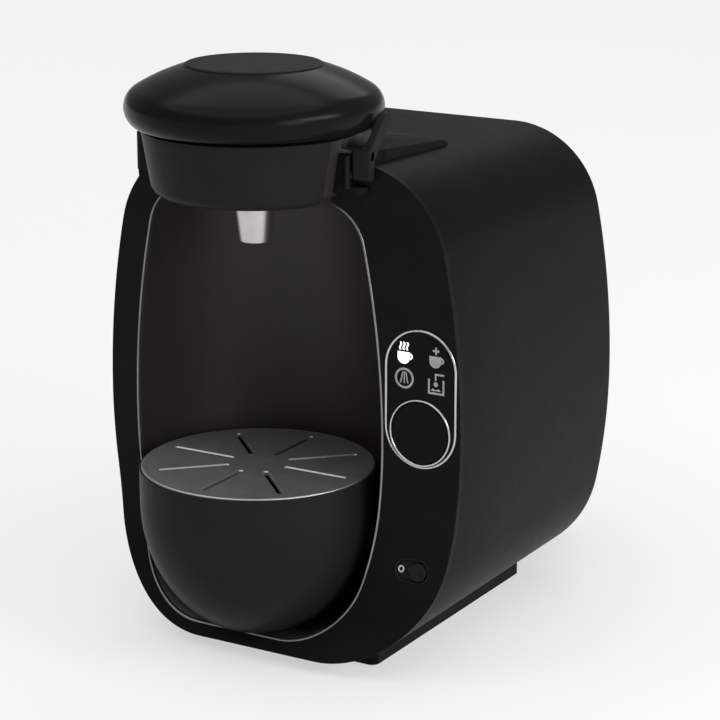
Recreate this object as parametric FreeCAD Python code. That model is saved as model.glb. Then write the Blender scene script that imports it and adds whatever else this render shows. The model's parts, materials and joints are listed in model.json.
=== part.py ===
import FreeCAD, Part
import math
import os

from FreeCAD import Vector

# Pod coffee machine. Millimetres, +Z up, front towards -Y, origin under the middle of the overall box.

# Body outline, seen from the front, symmetric about X = 0
body_half_width = 98.7
body_side_radius = 450.0
body_widest_z = 118.0
body_top_z = 246.5
body_top_radius = 45.0
body_bottom_z = 5.0
body_bottom_radius = 62.0
body_depth = 172.5
body_rear_radius = 16.0
shell_wall = 2.5
rear_inset = 21.0
rear_lap = 4.5
rear_panel_flange = 2.5
rear_screw_length = 11.0
rear_screw_x = 68.0
rear_screw_low_z = 108.0
rear_screw_high_z = 180.0
rear_boss_depth = 7.0
vent_rows = 5
vent_pitch = 3.4
vent_half_height = 0.9
vent_half_length = 24.0
vent_drop = 8.0

# Front fascia: upright above sweep_start_z, sweeping forward below it
fascia_thickness = 3.5
fascia_rib = 2.0
fascia_rib_depth = 6.0
sweep_start_z = 100.0
sweep_radius = 215.0

# Head axis, left of the body's middle and just behind the front face
head_offset_x = -13.0
head_setback = 1.0

# Cup niche
niche_half_width = 69.1
niche_side_radius = 450.0
niche_widest_z = 112.0
niche_top_z = 226.0
niche_top_radius = 24.0
niche_bottom_z = 10.5
niche_bottom_radius = 50.0
niche_wall = 2.0
trim_width = 1.3
trim_proud = 0.5
trim_depth = 1.2

# Base plate and feet
base_half_width = 53.0
base_front_setback = 1.5
base_length = 150.0
base_corner = 4.0
base_skirt = 2.5
base_rib = 2.0
base_recess = 2.0
foot_height = 2.5
foot_proud = 1.0
foot_radius = 7.0
foot_inset = 13.0
screw_radius = 2.0
screw_head_radius = 3.6
screw_head_height = 1.6
screw_length = 7.0
screw_x = 27.0
screw_back = 93.0

# Control panel on the right of the fascia
panel_x = 77.6
panel_z = 138.0
panel_half_width = 19.0
panel_half_height = 33.5
panel_ring_width = 1.1
panel_ring_proud = 0.5
panel_thickness = 2.6
panel_post_x = 11.3
panel_post_radius = 1.8
button_z = 121.9
button_radius = 14.9
button_ring_width = 1.3
button_ring_proud = 0.9
button_proud = 0.7
button_thickness = 4.0
button_travel = 1.5
button_dish = 1.0
button_flange = 0.8
button_flange_thickness = 1.2
button_dish_radius = 60.0
button_stem_radius = 3.0
board_thickness = 1.6
board_setback = 9.0
board_margin = 5.5
tact_radius = 3.5
tact_height = 2.0
icon_pitch_x = 17.2
icon_pitch_z = 12.4
icon_z = 153.6
light_guide_radius = 4.0
light_guide_skin = 1.0

# Power switch, a thumb slider in a stadium recess
switch_x = 73.3
switch_z = 53.0
switch_half_width = 9.4
switch_half_height = 5.9
switch_rim = 0.8
switch_recess = 1.6
switch_depth = 5.0
switch_proud = 0.3
slider_radius = 4.7
slider_height = 2.6
slider_dish = 0.7
slider_tongue_width = 2.4
slider_tongue_height = 1.8
switch_body_depth = 9.0
switch_body_inset = 1.0
switch_lug_width = 1.5
switch_lug_height = 6.0

# Drip tray
bowl_radius = 57.8
bowl_belly_z = 75.0
bowl_drop = 68.0
bowl_wall = 2.2
bowl_ledge = 2.5
bowl_ledge_thickness = 1.5
bowl_ledge_slope = 3.0
grate_radius = 56.9
grate_top_z = 92.8
grate_rim_height = 3.6
grate_plate = 2.0
grate_sink = 0.9
grate_edge = 0.8
grate_lip = 1.0
grate_lip_slope = 1.4
grate_skirt = 1.5
grate_slots = 8
slot_inner_radius = 16.0
slot_outer_radius = 48.0
slot_width = 3.2

# Brewing head
saddle_half_width = 63.0
saddle_front = 5.0
saddle_length = 85.0
saddle_top_z = 251.0
saddle_bottom_z = 232.0
saddle_rear_radius = 14.0
saddle_front_radius = 6.0
saddle_edge = 1.6
drum_top_z = 258.0
drum_bottom_z = 226.4
drum_top_radius = 53.6
drum_bottom_radius = 48.2
drum_corner = 7.0
drum_cover_wall = 2.2
drum_cover_front = 14.0
chamber_wall = 2.6
chamber_floor = 3.0
chamber_top_z = 257.0
chamber_flange = 4.0
chamber_flange_height = 1.8
chamber_nipple_rise = 9.0
chamber_nipple_bite = 2.0
nozzle_top_radius = 10.4
nozzle_tip_radius = 7.7
nozzle_tip_z = 203.0
nozzle_bore = 5.2
nozzle_tip_bore = 3.8
nozzle_edge = 0.8
nozzle_collar = 1.0
pierce_radius = 20.0
pierce_height = 8.0
pierce_needle_radius = 1.4
pierce_needle_height = 5.0
pierce_needle_x = 12.0
pierce_needle_tip = 0.3
pierce_draft = 2.0
pierce_bore = 3.2
holder_z = 240.0
holder_thickness = 2.4
holder_seat_radius = 33.0
holder_rim = 1.6
holder_rim_height = 3.0
holder_seat_width = 4.0
code_window_length = 14.0
code_window_width = 8.0
code_window_gap = 1.0

# Lid
lid_disc_radius = 32.2
lid_disc_height = 2.0
lid_top_z = 288.0
lid_disc_proud = 0.8
lid_disc_edge = 0.6
lid_rim_radius = 62.0
lid_rim_z = 268.3
lid_foot_radius = 56.6
lid_bottom_z = 259.6
lid_dome_bulge = 5.5
lid_rim_bulge = 1.7
lid_wall = 2.4
lid_spigot_height = 2.0
lid_spigot_wall = 3.0
press_plate_radius = 43.0
press_plate_bottom_z = 250.0
press_plate_height = 10.5
press_plate_wall = 3.0
press_plate_edge = 1.5
press_deck = 2.0
press_hub_radius = 14.0
press_seal_radius = 29.0
press_seal_width = 3.0
press_seal_height = 1.6
lid_hinge_back = 67.5
lid_hinge_z = 257.6
lid_knuckle_radius = 5.0
lid_knuckle_length = 40.0
lid_knuckle_skin = 0.4
lid_ear_width = 7.0
lid_pin_radius = 2.0

# Latch at the right of the collar
latch_inner = 57.0
latch_outer = 66.4
latch_arm_inner = 62.5
latch_front = 5.6
latch_thickness = 5.0
latch_side_radius = 2.0
latch_bottom_z = 238.7
latch_top_z = 253.4
latch_tip_back = 14.5
latch_tip_z = 268.6
latch_tip_depth = 4.5
latch_tip_edge = 1.2
latch_arm_depth = 5.5
latch_pin_radius = 1.2
latch_pin_bite = 6.0
latch_spring_radius = 2.3
latch_spring_bore = 1.4
latch_gap = 1.5
latch_drop_gap = 3.2

# Water tank, dock and rear panel
tank_half_width = 58.0
tank_depth = 66.0
tank_gap = 0.5
tank_bottom_z = 40.0
tank_top_z = 206.0
tank_rear_radius = 40.0
tank_front_radius = 6.0
tank_edge = 5.0
tank_wall = 2.2
tank_lid_thickness = 3.0
tank_lid_skirt = 4.0
tank_hinge_radius = 3.0
tank_hinge_length = 24.0
tank_hinge_pin = 1.5
tank_hinge_gap = 1.0
tank_ear_width = 4.0
tank_ear_drop = 12.0
valve_radius = 9.0
valve_length = 6.0
valve_flange_radius = 12.0
valve_flange_height = 2.5
valve_back = 28.0
valve_neck = 2.0
valve_edge = 1.5
float_post_radius = 3.5
float_radius = 11.0
float_height = 9.0
float_x = 34.0
float_travel = 100.0
float_stop = 1.5
float_stop_width = 2.0
float_edge = 1.5
dock_thickness = 9.0
dock_rear_thickness = 5.0
dock_neck = 22.0
dock_gusset_x = 26.0
dock_gusset_width = 4.0
dock_gusset_drop = 8.0
dock_spigot_radius = 4.0
dock_spigot_inside = 14.0
dock_seal_radius = 8.2
dock_seal_width = 2.6
dock_seal_height = 0.7
dock_well_gap = 0.6
gland_x = -66.0
gland_z = 66.0
gland_radius = 6.5
gland_bore = 3.6
gland_length = 9.0
gland_flange = 3.0
gland_flange_thickness = 2.0
gland_nut = 3.0

# Works inside
frame_front_gap = 3.0
frame_rear_gap = 4.0
frame_thickness = 3.0
frame_rib = 2.5
boss_height = 7.0
boss_radius = 5.0
heater_rib_x = -38.0
heater_front = 4.0
heater_corner = 6.0
heater_fins = 6
heater_fin_gap = 6.0
heater_fin_depth = 4.0
heater_width = 30.0
heater_depth = 40.0
heater_bottom_z = 34.0
heater_height = 106.0
heater_tube_radius = 4.0
board_rib_x = 46.0
board_rib_front = 20.0
board_rib_top_z = 178.0
control_board_standoff = 4.0
control_board_bottom_z = 66.0
control_board_front = 24.0
control_board_margin = 4.0
standoff_radius = 2.5
relay_size = 20.0
relay_height = 15.0
relay_lift = 10.0
transformer_height = 18.0
transformer_rise = 32.0
capacitor_radius = 7.0
capacitor_height = 16.0
capacitor_lift = 50.0
connector_height = 8.0
connector_width = 10.0
pump_back = 94.0
pump_z = 42.0
pump_half_length = 30.0
pump_radius = 15.0
coil_half_length = 16.0
coil_half_height = 19.0
mount_width = 8.0
mount_half_depth = 10.0
mount_height = 4.0
mount_cradle = 11.0
coil_corner = 3.0
meter_radius = 16.0
meter_height = 32.0
meter_back = 40.0
meter_edge = 2.0
hose_wall = 1.6
hose_bend = 5.0
brew_hose_bend = 10.0
hose_overlap = 5.0
nipple_radius = 4.0
nipple_length = 6.0

# Fits
seat_gap = 0.3
pin_clearance = 0.05
trim_fit = 0.15

# Places worked out from the sizes
overall_depth = lid_rim_radius - head_setback + body_depth + tank_gap + tank_depth
front_y = lid_rim_radius - head_setback - overall_depth / 2
head_x = head_offset_x
head_y = front_y + head_setback
rear_y = front_y + body_depth
floor_z = body_bottom_z + shell_wall
latch_pivot_y = front_y - latch_front + latch_thickness / 2
latch_pivot_z = latch_bottom_z + latch_thickness / 2
tank_front_y = rear_y + tank_gap
tank_rear_y = tank_front_y + tank_depth
tank_hinge_y = tank_rear_y - tank_hinge_radius
tank_hinge_z = tank_top_z + tank_hinge_radius + tank_hinge_gap
valve_y = tank_front_y + valve_back
dock_top_z = tank_bottom_z - seat_gap
spigot_z = dock_top_z - dock_thickness / 2
well_floor_z = tank_bottom_z - valve_length - seat_gap - dock_seal_height
chamber_inset = drum_cover_wall + seat_gap
chamber_floor_top_z = drum_bottom_z + chamber_inset + chamber_floor
brew_nipple_z = drum_bottom_z + chamber_nipple_rise
grate_seat_z = grate_top_z - grate_rim_height - grate_skirt
bowl_low_z = niche_bottom_z + seat_gap
slider_travel = 2 * (switch_half_width - switch_rim - slider_radius - seat_gap)
base_y0 = front_y + base_front_setback
base_y1 = base_y0 + base_length
frame_y0 = front_y + niche_half_width + niche_wall + frame_front_gap
frame_y1 = rear_y - shell_wall - rear_panel_flange - frame_rear_gap
frame_top_z = floor_z + frame_thickness
heater_y0 = frame_y0 + heater_front
heater_top_z = heater_bottom_z + heater_height
pump_y = front_y + pump_back
meter_y = rear_y - meter_back
spigot_y = rear_y - dock_spigot_inside
far = 400.0


def box(x0, x1, y0, y1, z0, z1):
    return Part.makeBox(x1 - x0, y1 - y0, z1 - z0, Vector(x0, y0, z0))


def cylinder(x, y, z, radius, height, axis=Vector(0, 0, 1)):
    return Part.makeCylinder(radius, height, Vector(x, y, z), axis)


def tube(x, y, z, outer, inner, height, axis=Vector(0, 0, 1)):
    return cylinder(x, y, z, outer, height, axis).cut(cylinder(x, y, z, inner, height, axis))


def line(a, b):
    return Part.LineSegment(a, b).toShape()


def arc(a, b, c):
    return Part.Arc(a, b, c).toShape()


def joined(shapes):
    first = shapes[0]
    return first.fuse(shapes[1:]).removeSplitter()


def polygon_prism(points, direction):
    return Part.Face(Part.makePolygon(points + points[:1])).extrude(direction)


class Outline:
    """An egg-like outline in the XZ plane: two side arcs, four corner arcs, a flat top and bottom."""

    def __init__(self, half_width, side_radius, widest_z, top_z, top_radius, bottom_z, bottom_radius,
                 inset=0.0):
        self.half_width = half_width - inset
        self.side_radius = side_radius - inset
        self.widest_z = widest_z
        self.top_z = top_z - inset
        self.top_radius = top_radius - inset
        self.bottom_z = bottom_z + inset
        self.bottom_radius = bottom_radius - inset
        self.side_x = self.half_width - self.side_radius

    def corner(self, flat_z, radius, sign):
        centre_z = flat_z - sign * radius
        rise = centre_z - self.widest_z
        reach = self.side_radius - radius
        centre_x = self.side_x + math.sqrt(reach * reach - rise * rise)
        angle = math.atan2(rise, centre_x - self.side_x)
        middle = (angle + sign * math.pi / 2) / 2
        side = (centre_x + radius * math.cos(angle), centre_z + radius * math.sin(angle))
        bend = (centre_x + radius * math.cos(middle), centre_z + radius * math.sin(middle))
        return (centre_x, flat_z), bend, side

    def right_edges(self, x0):
        """The right half, from the top flat round to the bottom flat, about X = x0."""
        def at(point, side=1):
            return Vector(x0 + side * point[0], 0, point[1])
        top, top_bend, top_side = self.corner(self.top_z, self.top_radius, 1)
        low, low_bend, low_side = self.corner(self.bottom_z, self.bottom_radius, -1)
        widest = (self.half_width, self.widest_z)
        return at, top, top_bend, top_side, widest, low_side, low_bend, low

    def wire(self, x0=0.0):
        at, top, top_bend, top_side, widest, low_side, low_bend, low = self.right_edges(x0)
        edges = [line(at(top, -1), at(top))]
        edges.append(arc(at(top), at(top_bend), at(top_side)))
        edges.append(arc(at(top_side), at(widest), at(low_side)))
        edges.append(arc(at(low_side), at(low_bend), at(low)))
        edges.append(line(at(low), at(low, -1)))
        edges.append(arc(at(low, -1), at(low_bend, -1), at(low_side, -1)))
        edges.append(arc(at(low_side, -1), at(widest, -1), at(top_side, -1)))
        edges.append(arc(at(top_side, -1), at(top_bend, -1), at(top, -1)))
        return Part.Wire(edges)

    def prism(self, y0, y1, x0=0.0):
        face = Part.Face(self.wire(x0))
        face.translate(Vector(0, y0, 0))
        return face.extrude(Vector(0, y1 - y0, 0))

    def revolved(self, x, y):
        at, top, top_bend, top_side, widest, low_side, low_bend, low = self.right_edges(0.0)
        axis_top = Vector(0, 0, self.top_z)
        axis_low = Vector(0, 0, self.bottom_z)
        edges = [line(axis_top, at(top))]
        edges.append(arc(at(top), at(top_bend), at(top_side)))
        edges.append(arc(at(top_side), at(widest), at(low_side)))
        edges.append(arc(at(low_side), at(low_bend), at(low)))
        edges.append(line(at(low), axis_low))
        edges.append(line(axis_low, axis_top))
        solid = Part.Face(Part.Wire(edges)).revolve(Vector(), Vector(0, 0, 1), 360)
        solid.translate(Vector(x, y, 0))
        return solid


def body_outline(inset=0.0):
    return Outline(body_half_width, body_side_radius, body_widest_z, body_top_z, body_top_radius,
                   body_bottom_z, body_bottom_radius, inset)


def niche_outline(inset=0.0):
    return Outline(niche_half_width, niche_side_radius, niche_widest_z, niche_top_z, niche_top_radius,
                   niche_bottom_z, niche_bottom_radius, inset)


def sweep_y(z, shift=0.0):
    """Where the front face lies at height z."""
    drop = max(sweep_start_z - z, 0.0)
    return front_y + shift - sweep_radius + math.sqrt(sweep_radius * sweep_radius - drop * drop)


def front_air(shift):
    """Everything in front of the front face, when that face is moved back by shift."""
    low_z = -sweep_start_z / 5
    start = Vector(0, sweep_y(sweep_start_z, shift), sweep_start_z)
    middle_z = (sweep_start_z + low_z) / 2
    middle = Vector(0, sweep_y(middle_z, shift), middle_z)
    end = Vector(0, sweep_y(low_z, shift), low_z)
    top = Vector(0, start.y, far)
    edges = [line(top, start), arc(start, middle, end)]
    corners = [end, Vector(0, -far, low_z), Vector(0, -far, far), top]
    edges += [line(a, b) for a, b in zip(corners, corners[1:])]
    face = Part.Face(Part.Wire(edges))
    face.translate(Vector(-far, 0, 0))
    return face.extrude(Vector(2 * far, 0, 0))


def between_fronts(solid, front_shift, back_shift):
    return solid.cut(front_air(front_shift)).common(front_air(back_shift))


def plan_face(x0, x1, y0, y1, front_radius, rear_radius):
    """A rectangle seen from above, with its own corner radii at the front and the rear."""
    s = math.sqrt(0.5)
    a, b = front_radius, rear_radius
    edges = [line(Vector(x0 + a, y0, 0), Vector(x1 - a, y0, 0))]
    edges.append(arc(Vector(x1 - a, y0, 0), Vector(x1 - a + a * s, y0 + a - a * s, 0), Vector(x1, y0 + a, 0)))
    edges.append(line(Vector(x1, y0 + a, 0), Vector(x1, y1 - b, 0)))
    edges.append(arc(Vector(x1, y1 - b, 0), Vector(x1 - b + b * s, y1 - b + b * s, 0), Vector(x1 - b, y1, 0)))
    edges.append(line(Vector(x1 - b, y1, 0), Vector(x0 + b, y1, 0)))
    edges.append(arc(Vector(x0 + b, y1, 0), Vector(x0 + b - b * s, y1 - b + b * s, 0), Vector(x0, y1 - b, 0)))
    edges.append(line(Vector(x0, y1 - b, 0), Vector(x0, y0 + a, 0)))
    edges.append(arc(Vector(x0, y0 + a, 0), Vector(x0 + a - a * s, y0 + a - a * s, 0), Vector(x0 + a, y0, 0)))
    return Part.Face(Part.Wire(edges))


def plan_prism(x0, x1, y0, y1, front_radius, rear_radius, z0, z1):
    face = plan_face(x0, x1, y0, y1, front_radius, rear_radius)
    face.translate(Vector(0, 0, z0))
    return face.extrude(Vector(0, 0, z1 - z0))


def stadium(half_width, half_height, x, z, y0, y1):
    """An upright or level stadium seen from the front, from y0 back to y1."""
    radius = min(half_width, half_height)
    axis = Vector(0, 1, 0)
    reach_x = half_width - radius
    reach_z = half_height - radius
    ends = []
    for side in (-1, 1):
        ends.append(cylinder(x + side * reach_x, y0, z + side * reach_z, radius, y1 - y0, axis))
    if reach_x > reach_z:
        middle = box(x - reach_x, x + reach_x, y0, y1, z - radius, z + radius)
    else:
        middle = box(x - radius, x + radius, y0, y1, z - reach_z, z + reach_z)
    return joined([middle] + ends)


def turned(edges, x, y):
    """Revolves a closed profile of radius and height about the upright axis at x, y."""
    solid = Part.Face(Part.Wire(edges)).revolve(Vector(), Vector(0, 0, 1), 360)
    solid.translate(Vector(x, y, 0))
    return solid


def turned_points(points, x, y):
    corners = [Vector(r, 0, z) for r, z in points]
    return turned([line(a, b) for a, b in zip(corners, corners[1:] + corners[:1])], x, y)


def edges_where(shape, test):
    return [edge for edge in shape.Edges if all(test(vertex.Point) for vertex in edge.Vertexes)]


def hose(points, radius, wall, bend):
    """A hose along straight runs joined by tangent bends."""
    runs = []
    start = points[0]
    for before, corner, after in zip(points, points[1:], points[2:]):
        back = (before - corner).normalize()
        ahead = (after - corner).normalize()
        half = back.getAngle(ahead) / 2
        cut = bend / math.tan(half)
        inwards = (back + ahead).normalize()
        centre = corner + inwards * (bend / math.sin(half))
        runs.append(line(start, corner + back * cut))
        runs.append(arc(corner + back * cut, centre - inwards * bend, corner + ahead * cut))
        start = corner + ahead * cut
    runs.append(line(start, points[-1]))
    path = Part.Wire(runs)
    heading = points[1] - points[0]
    solids = []
    for size in (radius + wall, radius):
        ring = Part.Wire([Part.Circle(points[0], heading, size).toShape()])
        solids.append(path.makePipeShell([ring], True, False))
    return solids[0].cut(solids[1])


# Head forms that several pieces share

def drum_profile(inset, top_z, floor_lift=0.0):
    """The tapered cup of the brewing head, drawn in by inset, as a closed profile."""
    slope = (drum_top_radius - drum_bottom_radius) / (drum_top_z - drum_bottom_z)
    low_z = drum_bottom_z + floor_lift
    top_radius = drum_bottom_radius + slope * (top_z - drum_bottom_z) - inset
    corner = max(drum_corner - inset, 1.0)
    wall_low = drum_bottom_radius + slope * (low_z + corner - drum_bottom_z) - inset
    s = math.sqrt(0.5)
    floor_end = Vector(wall_low - corner, 0, low_z)
    bend = Vector(wall_low - corner + corner * s, 0, low_z + corner - corner * s)
    wall_start = Vector(wall_low, 0, low_z + corner)
    wall_end = Vector(top_radius, 0, top_z)
    axis_low = Vector(0, 0, low_z)
    axis_top = Vector(0, 0, top_z)
    edges = [line(axis_low, floor_end), arc(floor_end, bend, wall_start), line(wall_start, wall_end)]
    edges += [line(wall_end, axis_top), line(axis_top, axis_low)]
    return edges


def drum_form(inset, top_z, floor_lift=0.0):
    return turned(drum_profile(inset, top_z, floor_lift), head_x, head_y)


def saddle_form(shrink=0.0):
    return plan_prism(head_x - saddle_half_width + shrink, head_x + saddle_half_width - shrink,
                      front_y - saddle_front + shrink, front_y - saddle_front + saddle_length - shrink,
                      saddle_front_radius, saddle_rear_radius, saddle_bottom_z, saddle_top_z)


def chamber_clearance():
    """The room that the brewing chamber needs in the body."""
    return drum_form(chamber_inset - seat_gap, drum_top_z).fuse(
        cylinder(head_x, head_y, niche_top_z - niche_wall, drum_bottom_radius - drum_corner, 2 * niche_wall))


# Base

def screw_places():
    return [(side * screw_x, y) for side in (-1, 1) for y in (base_y0 + screw_back, base_y1 - foot_inset)]


def foot_places():
    xs = base_half_width - foot_inset
    return [(side * xs, y) for side in (-1, 1) for y in (base_y0 + foot_inset, base_y1 - foot_inset)]


def make_base_plate():
    plate = plan_prism(-base_half_width, base_half_width, base_y0, base_y1, base_corner, base_corner,
                       foot_proud, 2 * body_bottom_z)
    plate = plate.cut(body_outline().prism(front_y - far / 4, rear_y))
    deck = foot_proud + base_recess
    pocket = plan_prism(-base_half_width + base_skirt, base_half_width - base_skirt, base_y0 + base_skirt,
                        base_y1 - base_skirt, base_corner, base_corner, 0, deck)
    for x in (-base_half_width / 3, base_half_width / 3):
        pocket = pocket.cut(box(x - base_rib / 2, x + base_rib / 2, base_y0, base_y1, 0, deck))
    middle_y = (base_y0 + base_y1) / 2
    pocket = pocket.cut(box(-base_half_width, base_half_width, middle_y - base_rib / 2,
                            middle_y + base_rib / 2, 0, deck))
    for x, y in foot_places():
        pocket = pocket.cut(cylinder(x, y, 0, foot_radius + base_skirt, deck))
    for x, y in screw_places():
        pocket = pocket.cut(cylinder(x, y, 0, screw_head_radius + base_skirt, deck))
    plate = plate.cut(pocket)
    for x, y in foot_places():
        plate = plate.cut(cylinder(x, y, 0, foot_radius, foot_height))
    for x, y in screw_places():
        plate = plate.cut(cylinder(x, y, 0, screw_head_radius + seat_gap, foot_proud + screw_head_height))
        plate = plate.cut(cylinder(x, y, 0, screw_radius + seat_gap, far))
    return plate


def make_feet():
    feet = []
    for x, y in foot_places():
        foot = cylinder(x, y, 0, foot_radius, foot_height)
        feet.append(foot.makeChamfer(foot_proud / 2, edges_where(foot, lambda p: p.z < 0.01)))
    return Part.makeCompound(feet)


def make_base_screws():
    screws = []
    for x, y in screw_places():
        head = cylinder(x, y, foot_proud, screw_head_radius, screw_head_height)
        shank = cylinder(x, y, foot_proud, screw_radius, screw_head_height + screw_length)
        screws.append(head.fuse(shank).removeSplitter())
    return Part.makeCompound(screws)


# Shell and front

def shell_inner():
    """The room inside the shell, with its rounded rear edge."""
    inner = body_outline(shell_wall).prism(front_y - far / 8 - 1, rear_y - shell_wall)
    return inner.makeFillet(body_rear_radius - shell_wall,
                            edges_where(inner, lambda p: p.y > rear_y - shell_wall - 0.01))


def rear_bosses():
    """Blocks on the shell's side walls that the rear panel's screws bite into."""
    y1 = rear_y - shell_wall - rear_panel_flange
    blocks = []
    for x, z in rear_screw_places():
        ends = sorted((math.copysign(abs(x) - boss_radius, x), math.copysign(body_half_width, x)))
        block = box(ends[0], ends[1], y1 - rear_boss_depth, y1, z - boss_radius, z + boss_radius)
        blocks.append(block.common(shell_inner()))
    return blocks


def make_body_shell():
    outer = body_outline().prism(front_y - far / 8, rear_y)
    outer = outer.makeFillet(body_rear_radius, edges_where(outer, lambda p: p.y > rear_y - 0.01))
    shell = outer.cut(shell_inner())
    shell = shell.cut(body_outline(rear_inset).prism(rear_y - 2 * shell_wall, rear_y + 1))
    shell = shell.cut(front_air(fascia_thickness))
    shell = shell.cut(chamber_clearance())
    for x, y in screw_places():
        shell = shell.cut(cylinder(x, y, 0, screw_radius + seat_gap, floor_z + 1))
    shell = shell.fuse(rear_bosses()).removeSplitter()
    for x, z in rear_screw_places():
        shell = shell.cut(cylinder(x, rear_y - far / 8, z, screw_radius, far / 8, Vector(0, 1, 0)))
    return shell


def make_fascia():
    y0 = front_y - far / 8
    y1 = front_y + far / 8
    plate = between_fronts(body_outline().prism(y0, y1), 0, fascia_thickness)
    rib_inset = shell_wall + seat_gap
    rib = body_outline(rib_inset).prism(y0, y1).cut(body_outline(rib_inset + fascia_rib).prism(y0, y1))
    rib = between_fronts(rib, fascia_thickness, fascia_thickness + fascia_rib_depth)
    rib = rib.cut(niche_outline(-niche_wall - seat_gap).prism(y0, y1, head_x))
    fascia = plate.fuse(rib).removeSplitter()
    fascia = fascia.cut(niche_outline().prism(y0, y1, head_x))
    fascia = fascia.cut(trim_room(trim_fit))
    fascia = fascia.cut(chamber_clearance())
    fascia = fascia.cut(stadium(panel_half_width + trim_fit, panel_half_height + trim_fit, panel_x, panel_z,
                                front_y - 1, front_y + fascia_thickness + 1))
    switch_hole = stadium(switch_half_width + trim_fit, switch_half_height + trim_fit, 0, 0,
                          -switch_depth, 4 * switch_depth)
    return fascia.cut(switch_place(switch_hole))


def niche_rear(inset):
    """The half of the cup space behind the front face, round the head axis."""
    return niche_outline(inset).revolved(head_x, front_y).common(box(-far, far, front_y, far, 0, far))


def niche_front(inset):
    """The rest of the cup space, straight out through the front."""
    return niche_outline(inset).prism(front_y - far / 8, front_y, head_x)


def trim_room(grow):
    ring = niche_outline(-trim_width - grow).prism(front_y - far / 8, front_y + far / 8, head_x)
    ring = ring.cut(niche_outline().prism(front_y - far / 8 - 1, front_y + far / 8 + 1, head_x))
    return between_fronts(ring, -trim_proud, trim_depth + grow)


def make_niche_trim():
    ring = trim_room(0)
    return ring.cut(chamber_clearance()).cut(saddle_form(-seat_gap)).cut(drum_form(-seat_gap, drum_top_z))


def make_niche_liner():
    liner = niche_rear(-niche_wall).cut(niche_rear(0))
    liner = liner.fuse(niche_front(-niche_wall).cut(niche_front(0))).removeSplitter()
    liner = liner.cut(front_air(fascia_thickness))
    liner = liner.common(body_outline(shell_wall).prism(front_y - far / 8, rear_y))
    mouth_radius = drum_bottom_radius - drum_corner + 1
    liner = liner.cut(cylinder(head_x, head_y, niche_top_z - 1, mouth_radius, far))
    return liner.cut(drum_form(-seat_gap, drum_top_z))


# Controls

def make_control_plate():
    along = Vector(0, 1, 0)
    inside_w = panel_half_width - panel_ring_width - trim_fit
    inside_h = panel_half_height - panel_ring_width - trim_fit
    plate = stadium(inside_w, inside_h, panel_x, panel_z, front_y, front_y + panel_thickness)
    for side in (-1, 1):
        for z in (panel_z, icon_z):
            post_x = panel_x + side * panel_post_x
            plate = plate.fuse(cylinder(post_x, front_y, z, panel_post_radius, board_setback, along))
    hole_radius = button_radius + button_ring_width + trim_fit
    plate = plate.cut(cylinder(panel_x, front_y - 1, button_z, hole_radius, panel_thickness + 2, along))
    for x, z in icon_places():
        guide_radius = light_guide_radius + trim_fit
        plate = plate.cut(cylinder(x, front_y + light_guide_skin, z, guide_radius, panel_thickness, along))
    return plate.removeSplitter()


def icon_places():
    xs = (panel_x - icon_pitch_x / 2, panel_x + icon_pitch_x / 2)
    zs = (icon_z - icon_pitch_z / 2, icon_z + icon_pitch_z / 2)
    return [(x, z) for x in xs for z in zs]


def make_control_ring():
    y0 = front_y - panel_ring_proud
    y1 = front_y + panel_thickness
    ring = stadium(panel_half_width, panel_half_height, panel_x, panel_z, y0, y1)
    inside_w = panel_half_width - panel_ring_width
    inside_h = panel_half_height - panel_ring_width
    return ring.cut(stadium(inside_w, inside_h, panel_x, panel_z, y0 - 1, y1 + 1))


def make_light_guides():
    length = board_setback - light_guide_skin
    guides = []
    for x, z in icon_places():
        guides.append(cylinder(x, front_y + light_guide_skin, z, light_guide_radius, length, Vector(0, 1, 0)))
    return Part.makeCompound(guides)


def make_button_ring():
    return tube(panel_x, front_y - button_ring_proud, button_z, button_radius + button_ring_width,
                button_radius + seat_gap, button_ring_proud + panel_thickness, Vector(0, 1, 0))


def make_start_button():
    along = Vector(0, 1, 0)
    face_y = front_y - button_proud
    cap = cylinder(panel_x, face_y, button_z, button_radius, button_thickness, along)
    dish_y = face_y - button_dish_radius + button_dish
    cap = cap.cut(Part.makeSphere(button_dish_radius, Vector(panel_x, dish_y, button_z)))
    flange_radius = button_radius + button_flange
    flange = cylinder(panel_x, front_y + panel_thickness + seat_gap, button_z, flange_radius,
                      button_flange_thickness, along)
    stem_end = front_y + board_setback - tact_height - button_travel - seat_gap
    stem = cylinder(panel_x, front_y + panel_thickness, button_z, button_stem_radius,
                    stem_end - front_y - panel_thickness, along)
    return joined([cap, flange, stem])


def make_button_board():
    y0 = front_y + board_setback
    board = stadium(panel_half_width - board_margin, panel_half_height - board_margin, panel_x, panel_z,
                    y0, y0 + board_thickness)
    tact = cylinder(panel_x, y0 - tact_height, button_z, tact_radius, tact_height, Vector(0, 1, 0))
    return board.fuse(tact).removeSplitter()


def switch_tilt():
    return math.degrees(math.asin((sweep_start_z - switch_z) / sweep_radius))


def switch_place(shape):
    """Sets a shape made about the origin, facing -Y, on the leaning front face at the switch."""
    placed = shape.copy()
    placed.rotate(Vector(), Vector(1, 0, 0), -switch_tilt())
    placed.translate(Vector(switch_x, sweep_y(switch_z), switch_z))
    return placed


def make_switch_bezel():
    body = stadium(switch_half_width, switch_half_height, 0, 0, -switch_proud, switch_depth)
    well = stadium(switch_half_width - switch_rim, switch_half_height - switch_rim, 0, 0, -1, switch_recess)
    reach = (slider_travel + slider_tongue_width) / 2 + seat_gap
    half_height = slider_tongue_height / 2 + seat_gap
    slot = box(-reach, reach, -1, switch_depth + 1, -half_height, half_height)
    return switch_place(body.cut(well).cut(slot))


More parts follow.
